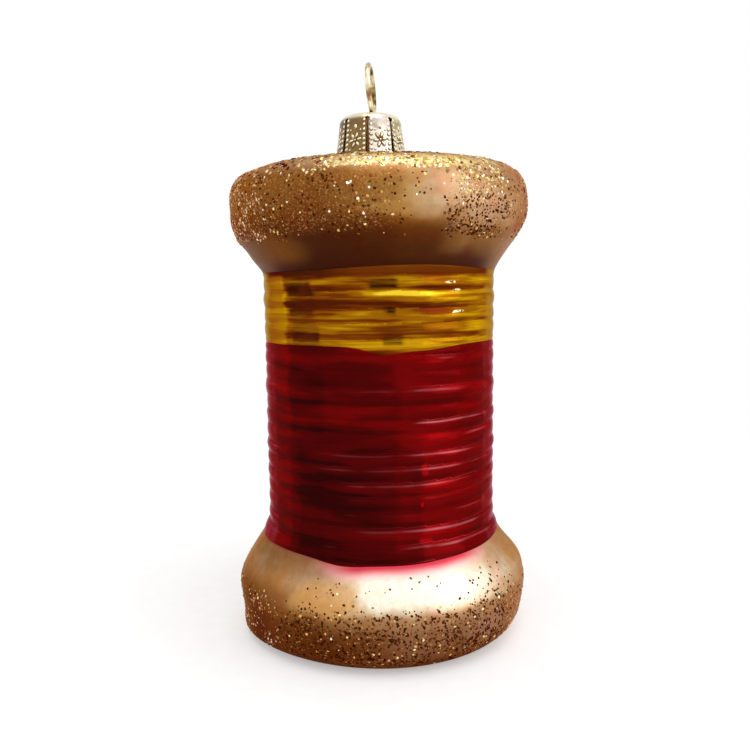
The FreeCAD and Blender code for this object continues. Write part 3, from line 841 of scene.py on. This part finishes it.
class SpoolStage(bpy.types.Operator):
    """Set the pale floor, the soft lamps and the camera"""
    bl_idname = "object.spool_stage"
    bl_label = "Stage"

    def execute(self, context):
        settings = context.scene.spool_stage
        context.scene.view_settings.view_transform = "Standard"
        self.surround(context.scene, settings.surround)
        reach, corners, sunk = 2.5, 64, 0.02 * MM
        turn = np.linspace(0, 2 * math.pi, corners, endpoint=False)
        points = [(reach * math.sin(a), -reach * math.cos(a), -sunk) for a in turn]
        piece_of("floor", points, [list(range(corners))], floor_paper(), smooth=False)
        self.soft_lamp("side_lamp", settings.side_lamp, azimuth=64, elevation=22, distance=0.7,
                       width=0.5, height=0.6)
        self.soft_lamp("top_lamp", settings.top_lamp, azimuth=14, elevation=72, distance=0.6,
                       width=0.4, height=0.4)
        self.camera(context.scene)
        return {"FINISHED"}

    def surround(self, scene, strength):
        scene.world = bpy.data.worlds.new("studio_surround")
        scene.world.use_nodes = True
        tree = Tree(scene.world.node_tree)
        light = tree.any_of(seen_rays(tree), strength)
        back = tree.add("ShaderNodeBackground", {"Color": (1, 1, 1, 1), "Strength": light})
        tree.add("ShaderNodeOutputWorld", {"Surface": back.outputs[0]})

    def soft_lamp(self, name, power, azimuth, elevation, distance, width, height):
        lamp = bpy.data.lights.new(name, "AREA")
        lamp.shape, lamp.size, lamp.size_y, lamp.energy = "RECTANGLE", width, height, power
        turn, lift = math.radians(azimuth), math.radians(elevation)
        level = math.cos(lift)
        towards = Vector((math.sin(turn) * level, -math.cos(turn) * level, math.sin(lift)))
        holder = linked(name, lamp)
        holder.location = Vector((0, 0, 45 * MM)) + towards * distance
        holder.rotation_mode = "QUATERNION"
        holder.rotation_quaternion = towards.to_track_quat("Z", "Y")

    def camera(self, scene):
        """Where the photograph was taken from, fitted to the spool's own outline."""
        data = bpy.data.cameras.new("photo_camera")
        data.sensor_width, data.lens, data.clip_start = 36, 38.89, 0.01
        pitch, roll = math.radians(6.259), math.radians(-0.717)
        scene.camera = linked("photo_camera", data)
        scene.camera.matrix_world = (Matrix.Translation((-0.817 * MM, -140.3 * MM, 58.84 * MM))
                                     @ Matrix.Rotation(math.pi / 2 - pitch, 4, "X")
                                     @ Matrix.Rotation(roll, 4, "Z"))


def sprinkling(azimuth, height):
    """How thick the glitter lies, 0 to 1: clouds on both flanges, with glitter-free places between."""
    a, z = (azimuth + 90) % 180 - 90, height / MM
    turn = np.radians(azimuth)
    clump = (np.sin(7 * turn + 0.9 * z) + np.sin(13 * turn - 0.7 * z + 1)
             + np.sin(5 * turn + 1.6 * z + 4) + np.sin(23 * turn + 0.5 * z + 2)) / 4
    upper = fade(z, 65.4, 66.6) * fade(-z, -78.4, -77.9)
    left = np.clip(1 - fade(a, -50, -32) + fade(a, 64, 90), 0, 1)
    reach = 6 + 10 * fade(z, 70.4, 72)
    middle = 0.26 * fade(a, -46, -30) * (1 - fade(a, reach, reach + 6))
    right = (0.85 * fade(a, 20, 27) * (1 - fade(a, 48, 60))
             + 0.3 * fade(a, 48, 62) * (1 - fade(a, 70, 88)))
    crown = 0.3 + 0.7 * fade(a, -34, -20) * (1 - fade(a, 44, 58))
    lower = (fade(z, 0.8, 2.4) * (1 - fade(z, 9.0, 11.2))
             + 0.03 * fade(z, 9, 12) * (1 - fade(z, 14.0, 15.0)))
    front = 0.34 + 0.72 * fade(a, -56, -14) * (1 - fade(a, 56, 70))
    shoulder = 0.4 * swell(a, 50, 9) + 0.12 * swell(a, -24, 12)
    spread = (upper * np.maximum(left + middle + right, crown * fade(z, 75.0, 76.0))
              + lower * front + shoulder * fade(z, 8, 10) * (1 - fade(z, 13, 15)))
    return np.clip(spread * (0.85 + 0.75 * clump), 0, 1)


class SpoolGlass(bpy.types.Operator):
    """Blow the glass: base, flanges, barrel, top face and open neck"""
    bl_idname = "object.spool_glass"
    bl_label = "Glass"

    def execute(self, context):
        sizes = context.scene.spool_glass
        (r, z), shift, outer = self.wall(sizes)
        rows, columns = len(r), sizes.columns
        azimuth = np.arange(columns) * 360 / columns
        turn = np.radians(azimuth)
        r, z = np.tile(r[:, None], (1, columns)), np.tile(z[:, None], (1, columns))
        r = r + np.where(outer, self.blower_marks(turn, z) - self.under_paint(azimuth, z), 0)
        r, z = self.settled(turn, r, z, sizes)
        x = r * np.sin(turn) + NECK_X * shift[:, None]
        points = np.stack([x, -r * np.cos(turn), z], -1).reshape(-1, 3)
        faces = spun_faces(rows, columns)
        pole, last_row = len(points), len(points) - columns
        for column in range(columns):
            after = (column + 1) % columns
            faces.append([pole, after, column])
            faces.append([pole + 1, last_row + column, last_row + after])
        points = np.concatenate([points, [(0, 0, 0), (0, 0, 0.9 * MM)]])
        piece = piece_of("blown_glass", points, faces, flange_lacquer(), "glass", "glass_body")
        sprinkle = np.where(outer, sprinkling(azimuth, z), 0).ravel()
        below = np.where(outer, np.abs(red_foot(azimuth) - z) / MM, 9).ravel()
        give_attribute(piece.data, "sprinkle", np.append(sprinkle, (0, 0)))
        give_attribute(piece.data, "below_red", np.append(below, (9, 9)))
        return {"FINISHED"}

    def wall(self, sizes):
        """Radius and height along the wall, from the base's middle round to the bottom inside, how
        far each row is shifted with the neck, and which rows are the painted outside."""
        top, rim = sizes.height, GLASS_TOP
        bore, neck, lip = 3.6 * MM, 4.5 * MM, 0.45 * MM
        base = [(r * MM, 0.0) for r in (0.5, 5, 10, 14, 17, 18.6)]
        outside = list(zip(*evenly(*spool_outline(sizes), 0.3 * MM, 1.5 * MM, (22 * MM, 57 * MM))))
        face = [(r * MM, top - 0.05 * MM * (1 - r / 19.6)) for r in (18.6, 16, 13, 10, 8, 6.6)]
        root = [(neck + MM - math.sin(t) * MM, top - 0.03 * MM + (1 - math.cos(t)) * MM)
                for t in np.linspace(0, math.pi / 2, 7)]
        tube = [(neck, z) for z in (top + 2.5 * MM, top + 5 * MM, rim - 0.5 * MM)]
        rolled = [(neck - lip + lip * math.cos(t), rim - lip + lip * math.sin(t))
                  for t in np.linspace(0.3, math.pi, 7)]
        throat = [(bore, z) for z in (top + 3 * MM, top, top - 1 * MM)]
        inside = [(r * MM, z * MM) for r, z in (
            (4.2, 77.2), (10, 77.3), (17, 77.2), (21.5, 76), (24, 73), (24.4, 70), (22.8, 67),
            (19.6, 63.2), (18.5, 59), (18.5, 40), (18.5, 21), (20.2, 16.5), (23.4, 12), (24.1, 8),
            (23, 4), (20, 1.6), (14, 0.95), (6, 0.9), (0.5, 0.9))]
        slide = fade(-np.array(face)[:, 0], -17 * MM, -6.6 * MM)
        sections = ((base, 0), (outside, 0), (face, slide), (root + tube + rolled + throat, 1),
                    (inside, [1.0, 0.6, 0.2, 0.05] + [0.0] * (len(inside) - 4)))
        rows = np.concatenate([points for points, _ in sections])
        shift = np.concatenate([np.broadcast_to(share, len(points)) for points, share in sections])
        row = np.arange(len(rows))[:, None]
        return rows.T, shift, (row >= len(base)) & (row < len(base) + len(outside))

    def under_paint(self, azimuth, z):
        """How far the glass draws in where the thread's lacquers cover it."""
        foot, head = red_foot(azimuth) + 0.05 * MM, gold_head(azimuth) - 0.05 * MM
        return 0.15 * MM * fade(z, foot, foot + 0.5 * MM) * fade(-z, -head, -head + 0.5 * MM)

    def blower_marks(self, turn, z):
        """Glass blown in a mould by mouth is never quite round."""
        wobble = 0.035 * np.sin(2 * turn + 0.6) + 0.02 * np.sin(5 * turn + z * 0.2 / MM)
        return (wobble - 0.045) * MM

    def settled(self, turn, r, z, sizes):
        """The upper flange sits askew and is bevelled on top; the sides sag here and swell there."""
        bevel = (0.13 * (1 - hump(turn, math.radians(280), 0.2))
                 + 0.36 * hump(turn, math.radians(300), 0.26) + 0.08 * hump(turn, math.radians(55), 0.35))
        askew = fade(z, 61 * MM, 67 * MM) * fade(r, 8 * MM, 17 * MM) * (0.25 * np.sin(turn) - 0.08)
        askew = askew - bevel * hump(r / MM, 22.0, 1.6) * fade(z, 73 * MM, 75 * MM)
        left, right = hump(turn, math.radians(280), 0.6), hump(turn, math.radians(80), 0.6)
        # at this height, fading out so far above and below it, the side stands this much further out
        for side, height, reach, extra in (
                (left, 71.2, 2.6, -0.55), (left, 66.6, 1.3, 0.3), (left, 63.4, 1.5, 0.35),
                (left, 6.0, 2.4, -0.25), (right, 70.5, 3.0, -0.25), (right, 12.4, 2.0, 0.7),
                (right, 6.0, 2.4, -0.25)):
            r = r + extra * MM * side * hump(z / MM, height, reach) * fade(r, 15 * MM, 19 * MM)
        corner = 1.5 * hump(turn, math.radians(285), 0.55) * hump(z / MM, 0.8, 2.0)
        r = r + corner * MM * fade(r, 15 * MM, 20 * MM)
        return np.minimum(r, sizes.lower_radius + 0.2 * MM), z + askew * MM


def wound_blank(name, foot, head, step, sizes):
    """A closed sleeve of paint without its ribs, from one wavy edge to the other."""
    columns, thick, thin = 320, 0.12 * MM, 0.03 * MM
    azimuth = np.arange(columns) * 360 / columns
    turn = np.radians(azimuth)
    outline_r, outline_z = evenly(*spool_outline(sizes), 0.1 * MM, 0.1 * MM, (0, 0))
    across, up = outward_of(outline_r, outline_z)
    low, high = foot(azimuth), head(azimuth)
    count = int(np.ceil((high - low).mean() / step)) + 1
    z = low + np.linspace(0, 1, count)[:, None] * (high - low)
    back = z[::-5]  # the side that lies on the glass needs fewer rows
    back = np.concatenate([back[:1], back, z[:1], z[:1]])
    depth = np.full((count + len(back), 1), thick)
    depth[:count] = 0
    depth[[count, -1]] = thin
    edge = np.concatenate([np.minimum(z - low, high - z), np.zeros(back.shape)])
    z = np.concatenate([z, back])
    out_r, out_z = np.interp(z, outline_z, across), np.interp(z, outline_z, up)
    r, z = np.interp(z, outline_z, outline_r) - out_r * depth, z - out_z * depth
    points = np.stack([r * np.sin(turn), -r * np.cos(turn), z], -1).reshape(-1, 3)
    faces = spun_faces(len(z), columns)
    last_row, column = (len(z) - 1) * columns, np.arange(columns)
    after = (column + 1) % columns
    faces += np.stack([last_row + column, last_row + after, after, column], -1).tolist()
    blank = piece_of(name, points, faces)
    outward = np.stack([out_r * np.sin(turn), -out_r * np.cos(turn), out_z], -1)
    outward[count:] = 0
    give_attribute(blank.data, "outward", outward, "FLOAT_VECTOR")
    give_attribute(blank.data, "edge", edge / MM)
    return blank


def rib_recipe():
    """Geometry Nodes: raise uneven rounded ribs on a blank, level round it, as thread is wound."""
    t = Recipe("wound_ribs", {
        "Coat": "Float", "Rib Pitch": "Float", "Rib Height": "Float", "Unevenness": "Float",
        "Seed": "Float", "Material": "Material"})
    given = t.given
    slow = t.noise(t.vector("MULTIPLY", t.place, (70, 70, 120)), 1, 1)
    wander = t.times(t.minus(slow, 0.5), 0.6 * MM)
    count = t.sum("DIVIDE", t.plus(t.split(t.place)[2], wander), given["Rib Pitch"])
    uneven = t.add("ShaderNodeTexNoise", {
        "W": t.plus(t.times(count, 0.34), given["Seed"]), "Scale": 1.0, "Detail": 1.0},
        noise_dimensions="1D").outputs[0]
    count = t.plus(count, t.times(t.minus(uneven, 0.5), given["Unevenness"]))
    winding = t.sum("FRACT", count)
    from_crest = t.sum("ABSOLUTE", t.minus(winding, 0.5))
    crest = t.minus(1, t.sum("POWER", t.times(from_crest, 2), 1.7))
    pick = t.add("ShaderNodeTexWhiteNoise", {"W": t.plus(t.sum("FLOOR", count), given["Seed"])},
                 noise_dimensions="1D").outputs["Value"]
    lumps = t.noise(t.vector("MULTIPLY", t.place, (150, 150, 420)), 1, 2)
    strength = t.times(t.plus(0.35, t.times(pick, 0.65)), t.between(lumps, 0.3, 0.6, 0.55, 1))
    edge = t.attribute("edge")
    rib = t.times(crest, strength, t.between(edge, 0, 1), given["Rib Height"])
    lift = t.plus(rib, t.times(given["Coat"], t.between(edge, 0, 0.25, 0.4, 1)))
    outward = t.vector("SCALE", t.attribute("outward", "FLOAT_VECTOR"), lift)
    raised = t.moved(given["Geometry"], Offset=outward)
    return t.end(t.store(t.store(raised, "winding", winding), "strength", strength))


class SpoolThread(bpy.types.Operator):
    """Wind the red and the gold thread: two lacquer sleeves with ribs"""
    bl_idname = "object.spool_thread"
    bl_label = "Thread bands"

    def execute(self, context):
        glass, thread = context.scene.spool_glass, context.scene.spool_thread
        recipe = rib_recipe()

        def border(azimuth):
            return colour_border(azimuth, thread.colour_border)

        for name, foot, head, step, lacquer, node in (
                ("wound_red_thread", red_foot, border, 0.18 * MM, red_lacquer(), "red_thread_band"),
                ("wound_gold_thread", border, gold_head, 0.14 * MM, gold_lacquer(), "gold_thread_band")):
            blank = wound_blank(name + "_blank", foot, head, step, glass)
            through_recipe(blank, recipe, {
                "Coat": thread.coat, "Rib Pitch": thread.rib_pitch, "Rib Height": thread.rib_height,
                "Unevenness": thread.unevenness, "Seed": 2.0, "Material": lacquer}, name, "glass", node)
        return {"FINISHED"}


def flake_recipe():
    """Geometry Nodes: scatter six-sided foil flakes where the sprinkle attribute says."""
    t = Recipe("scattered_flakes", {
        "Flake": "Float", "Crowding": "Float", "Seed": "Int", "Widest": "Float",
        "Material": "Material"})
    given = t.given
    density = t.times(given["Crowding"], 1 / MM ** 2, t.attribute("sprinkle"))
    scatter = t.add("GeometryNodeDistributePointsOnFaces", {
        "Mesh": given["Geometry"], "Density": density, "Seed": given["Seed"]}).outputs
    lean = t.add("FunctionNodeRandomValue", {
        0: (-0.35, -0.35, -3.1), 1: (0.35, 0.35, 3.1), "Seed": 3},
        data_type="FLOAT_VECTOR").outputs[0]
    tilt = t.add("FunctionNodeRotateRotation", {
        "Rotation": scatter["Rotation"],
        "Rotate By": t.add("FunctionNodeEulerToRotation", {0: lean}).outputs[0]},
        rotation_space="LOCAL").outputs[0]
    size = t.add("FunctionNodeRandomValue", {2: 0.55, 3: 1.25, "Seed": 5},
                 data_type="FLOAT").outputs[1]
    size = t.times(size, t.between(t.split(t.place)[2], 74.6 * MM, 75.8 * MM, 1, 1.35))
    flake = t.add("GeometryNodeMeshCylinder", {
        "Vertices": 6, "Radius": given["Flake"], "Depth": 0.05 * MM}).outputs["Mesh"]
    sown = t.on_points(scatter["Points"], flake, Rotation=tilt, Scale=size)
    chance = t.add("FunctionNodeRandomValue", {"Seed": 11}, data_type="FLOAT").outputs[1]
    loose = t.real(t.store(sown, "flake", chance, "INSTANCE"))
    # no flake reaches past the CAD's box or below the base
    away = t.vector("LENGTH", t.vector("MULTIPLY", t.place, (1, 1, 0)))
    held = t.sum("MINIMUM", 1, t.sum("DIVIDE", given["Widest"], away))
    within = t.vector("MULTIPLY", t.place, t.joined(held, held, 1.0))
    kept = t.moved(loose, Position=t.vector("MAXIMUM", within, (-1, -1, 0)))
    flat = t.add("GeometryNodeSetShadeSmooth", {"Geometry": kept, "Shade Smooth": False}).outputs[0]
    return t.end(flat)


class SpoolGlitter(bpy.types.Operator):
    """Sprinkle glitter on both flanges"""
    bl_idname = "object.spool_glitter"
    bl_label = "Glitter"

    def execute(self, context):
        sizes = context.scene.spool_glitter
        glass = bpy.data.objects.get("blown_glass")
        if glass is None:
            raise RuntimeError("The glass comes before its glitter")
        foil, recipe, barrel = glitter_foil(), flake_recipe(), 40 * MM
        for name, side in (("glitter_lower", -1), ("glitter_upper", 1)):
            bed = linked(name + "_bed", glass.data.copy())
            place = np.zeros(len(bed.data.vertices) * 3, np.float32)
            bed.data.vertices.foreach_get("co", place)
            spread = np.zeros(len(bed.data.vertices), np.float32)
            sprinkle = bed.data.attributes["sprinkle"].data
            sprinkle.foreach_get("value", spread)
            sprinkle.foreach_set("value", spread * (side * (place[2::3] - barrel) > 0))
            through_recipe(bed, recipe, {
                "Flake": sizes.flake, "Crowding": sizes.crowding, "Seed": sizes.seed,
                "Widest": CAD_BOX[1][0] - 0.02 * MM, "Material": foil}, name, "glass", smooth=False)
        return {"FINISHED"}


def cap_outline(height):
    """Radius and height along the outside of the cap, from the hole's edge down to the foot."""
    corner = 1.6 * MM
    flat = [(r * MM, height) for r in (1.28, 1.6, 2.2, 2.9)]
    bend = [(SKIRT_RADIUS * MM - corner * (1 - math.sin(t)), height - corner * (1 - math.cos(t)))
            for t in np.linspace(0, math.pi / 2, 12)]
    skirt = [((SKIRT_RADIUS + SKIRT_FLARE * share) * MM, (height - corner) * (1 - share))
             for share in np.linspace(0, 1, 44)[1:]]
    return flat + bend + skirt


def slit_half_width(height, up):
    """Half the gap between two panels: a rounded relief hole on top, then a widening slit."""
    relief_top, relief_foot = height - 0.75 * MM, height - 1.6 * MM
    middle, half = (relief_top + relief_foot) / 2, (relief_top - relief_foot) / 2
    inside = 1 - min(1.0, abs((up - middle) / half)) ** 3
    relief = 0.46 * MM * inside ** (1 / 3)
    slit = (0.16 + 0.28 * (1 - up / relief_foot)) * MM if up < middle else 0.0
    return max(relief, slit) if up < relief_top else 0.0


class SpoolCap(bpy.types.Operator):
    """Stamp the cap: eight springy panels with beads, flowers and dots"""
    bl_idname = "object.spool_cap"
    bl_label = "Cap"

    def execute(self, context):
        sizes = context.scene.spool_cap
        plating, height = (*sizes.plating, 1.0), sizes.height
        outline, across, whole = cap_outline(height), 24, 2 * math.pi / PANELS
        points, faces = [], []
        for radius, up in outline:
            clear = slit_half_width(height, up) / radius
            skirt = fade(-up, -height + 1.2 * MM, -height + 3.5 * MM)
            for panel in range(PANELS):
                for share in np.arange(across + 1) / across:
                    angle = sizes.turn + panel * whole + clear + share * (whole - 2 * clear)
                    dipped = radius * (1 - PANEL_DIP * skirt * math.sin(math.pi * share))
                    points.append((NECK_X + dipped * math.sin(angle), -dipped * math.cos(angle),
                                   CAP_FOOT + up))
        wide = (across + 1) * PANELS
        for row in range(len(outline) - 1):
            for panel in range(PANELS):
                for step in range(across):
                    here = row * wide + panel * (across + 1) + step
                    faces.append([here, here + wide, here + wide + 1, here + 1])
        mesh = bpy.data.meshes.new("cap_sheet")
        mesh.from_pydata(points, [], faces)
        sheet = linked("cap_sheet", mesh)
        sheet.modifiers.new("weld", "WELD").merge_threshold = 0.002 * MM
        wall = sheet.modifiers.new("wall", "SOLIDIFY")
        wall.thickness, wall.offset, wall.use_even_offset = sizes.sheet, -1, True
        finished("stamped_cap", baked(sheet, "stamped_cap"), plated_sheet(plating), "cap", "cap")
        through_recipe(piece_of("stamping_blank", [(0, 0, 0)], []), stamping_recipe(), {
            "Turn": sizes.turn, "Foot": CAP_FOOT, "Middle": NECK_X, "Material": stamped_bead(plating)},
            "cap_stamping", "cap")
        return {"FINISHED"}


def stamping_recipe():
    """Geometry Nodes: one panel's marks laid out flat, repeated on eight panels and wrapped round."""
    t = Recipe("cap_stamping", {
        "Turn": "Float", "Foot": "Float", "Middle": "Float", "Material": "Material"})
    given = t.given
    skirt_height, middle_radius = 7.25, 5.65 * MM

    def bead(radius, across, up, scale, turn):
        shape = t.add("GeometryNodeMeshUVSphere", {
            "Segments": 8, "Rings": 5, "Radius": radius * MM}).outputs["Mesh"]
        return t.add("GeometryNodeTransform", {
            "Geometry": shape, "Translation": (across * MM, 0, up * MM), "Rotation": (0, turn, 0),
            "Scale": scale}).outputs[0]

    def mark(radius, across, up, wide=1.0, tall=1.0, turn=0.0):
        """A raised mark, and round it the recess that the punch left, set a little lower down and
        coloured as the mark's painted shadow.
        """
        shaded_ring = bead(radius, across - 0.05, up - 0.07, (wide * 1.75, 0.16, tall * 1.55), turn)
        return [bead(radius, across, up, (wide, 0.5, tall), turn), t.store(shaded_ring, "hollow", 1.0)]

    marks = []
    for side in (-1, 1):
        line = t.add("GeometryNodeMeshLine", {
            "Count": 10, "Start Location": (side * 1.6 * MM, 0, 0.5 * MM),
            "Offset": (0, 0, 0.78 * MM)}, mode="OFFSET").outputs[0]
        marks += [t.on_points(line, shape) for shape in mark(0.25, 0, 0)]
    marks += mark(0.3, 0, 6.5, tall=1.3, turn=-0.3)
    for petal in range(6):
        angle = petal * math.pi / 3 + 0.35
        marks += mark(0.23, 0.76 * math.sin(angle), 4.3 + 0.82 * math.cos(angle), 0.9, 1.7, angle)
    marks += mark(0.16, 0, 4.3)
    marks += mark(0.3, 0, 2.0, wide=1.3)
    for across, up in ((-0.95, 5.9), (0.95, 5.9), (-0.95, 2.7), (0.95, 2.7)):
        marks += mark(0.15, across, up)
    whole = t.add("GeometryNodeJoinGeometry")
    for shape in marks:
        t.feed(whole.inputs[0], shape)
    eight = t.add("GeometryNodeMeshLine", {"Count": PANELS, "Offset": (0, 0, 0)},
                  mode="OFFSET").outputs[0]
    copies = t.on_points(eight, t.real(whole.outputs[0]))
    copies = t.store(copies, "panel", t.add("GeometryNodeInputIndex").outputs[0], "INSTANCE")
    # across and up on the flat panel become an angle and a height on the cap's flaring skirt
    x, y, up = t.split(t.place)
    foot_radius = (SKIRT_RADIUS + SKIRT_FLARE) * MM
    radius = t.minus(foot_radius, t.times(up, SKIRT_FLARE / skirt_height))
    angle = t.sum("DIVIDE", t.times(x, t.sum("DIVIDE", radius, middle_radius)), radius)
    bulge = t.sum("COSINE", t.times(angle, PANELS / 2))
    reach = t.minus(t.times(radius, t.minus(1, t.times(bulge, PANEL_DIP))), y)
    angle = t.plus(angle, t.times(t.plus(t.attribute("panel"), 0.5), 2 * math.pi / PANELS),
                   given["Turn"])
    wrapped = t.joined(t.plus(given["Middle"], t.times(reach, t.sum("SINE", angle))),
                       t.times(reach, t.sum("COSINE", angle), -1), t.plus(given["Foot"], up))
    return t.end(t.moved(t.real(copies), Position=wrapped))


class SpoolHanger(bpy.types.Operator):
    """Bend the spring wire: loop, shoulders and the two legs that grip the neck"""
    bl_idname = "object.spool_hanger"
    bl_label = "Hanger"

    def execute(self, context):
        sizes = context.scene.spool_hanger
        top = CAP_FOOT + context.scene.spool_cap.height
        bend, out, down, aside = 1.2 * MM, 1.675 * MM, 0.15 * MM, 0.4 * MM
        tip, middle = Vector((-2.9 * MM, -11.9 * MM)), Vector((-out, -down))
        mouth = math.asin(out / (sizes.loop + bend))
        lift = (sizes.loop + bend) * math.cos(mouth) - down
        loop = min(sizes.loop, HANGER_TOP - top - lift - sizes.wire)
        away = tip - middle
        lean = math.atan2(-away.x, -away.y) + math.asin(bend / away.length)
        leg = self.on_bend(middle, bend, -lean) - tip
        half = [tip + leg * share for share in np.linspace(0, 0.97, 14)]
        half += [self.on_bend(middle, bend, turn)
                 for turn in np.linspace(-lean, math.pi / 2 - mouth, 14)]
        half += [Vector((loop * math.sin(turn), lift + loop * math.cos(turn)))
                 for turn in np.linspace(math.pi + mouth, 2 * math.pi, 30)[1:]]
        line = half + [Vector((-p.x, p.y)) for p in reversed(half[:-1])]
        points, faces = self.tube(line, sizes.wire, 18)
        turned = Matrix.Translation((NECK_X, 0, top)) @ Matrix.Rotation(sizes.turn, 4, "Z")
        slope = math.tan(sizes.lean)
        points = [turned @ Vector((side + (aside - slope * up) * fade(up, -2 * MM, 0), along, up))
                  for side, along, up in points]
        piece_of("bent_wire", points, faces, drawn_wire(), "hanger", "hanger")
        return {"FINISHED"}

    def on_bend(self, middle, radius, turn):
        """A point of the shoulder; turn is counted from level, towards the loop."""
        return middle + Vector((math.cos(turn), math.sin(turn))) * radius

    def tube(self, line, radius, sides):
        """A round wire along a line in the YZ plane, with rounded tips."""
        runs = [(line[min(i + 1, len(line) - 1)] - line[max(i - 1, 0)]).normalized()
                for i in range(len(line))]
        tips = [(math.sin(t), math.cos(t)) for t in np.linspace(0.25, math.pi / 2, 5)[:-1]]
        rings = [(line[0] - runs[0] * radius * out, runs[0], share) for share, out in tips]
        rings += [(place, run, 1.0) for place, run in zip(line, runs)]
        rings += [(line[-1] + runs[-1] * radius * out, runs[-1], share)
                  for share, out in reversed(tips)]
        points = []
        for place, run, share in rings:
            side = Vector((-run.y, run.x))
            for turn in 2 * math.pi * np.arange(sides) / sides:
                off = side * math.cos(turn) * radius * share
                points.append((math.sin(turn) * radius * share, place.x + off.x, place.y + off.y))
        faces = spun_faces(len(rings), sides)
        faces.append(list(range(sides))[::-1])
        faces.append([len(points) - sides + step for step in range(sides)])
        return points, faces


# ---------------------------------------------------------------- the add-on

class SpoolPanel(bpy.types.Panel):
    """The ornament's pieces, and the sizes that each is made from"""
    bl_idname = "VIEW3D_PT_spool_ornament"
    bl_label = "Spool Ornament"
    bl_space_type = "VIEW_3D"
    bl_region_type = "UI"
    bl_category = "Spool Ornament"

    def draw(self, context):
        for operator, name, group in PARTS:
            box = self.layout.box()
            box.operator(operator.bl_idname)
            for size in group.__annotations__:
                box.prop(getattr(context.scene, name), size)


PARTS = (
    (SpoolStage, "spool_stage", SpoolStageSettings),
    (SpoolGlass, "spool_glass", SpoolGlassSizes),
    (SpoolThread, "spool_thread", SpoolThreadSizes),
    (SpoolGlitter, "spool_glitter", SpoolGlitterSizes),
    (SpoolCap, "spool_cap", SpoolCapSizes),
    (SpoolHanger, "spool_hanger", SpoolHangerSizes),
)


def register():
    for operator, name, group in PARTS:
        bpy.utils.register_class(group)
        setattr(bpy.types.Scene, name, PointerProperty(type=group))
        bpy.utils.register_class(operator)
    bpy.utils.register_class(SpoolPanel)


def unregister():
    bpy.utils.unregister_class(SpoolPanel)
    for operator, name, group in reversed(PARTS):
        bpy.utils.unregister_class(operator)
        delattr(bpy.types.Scene, name)
        bpy.utils.unregister_class(group)


def main():
    register()
    bpy.ops.object.spool_stage()
    bpy.ops.object.spool_glass()
    bpy.ops.object.spool_thread()
    bpy.ops.object.spool_glitter()
    bpy.ops.object.spool_cap()
    bpy.ops.object.spool_hanger()


if __name__ == "__main__":
    main()
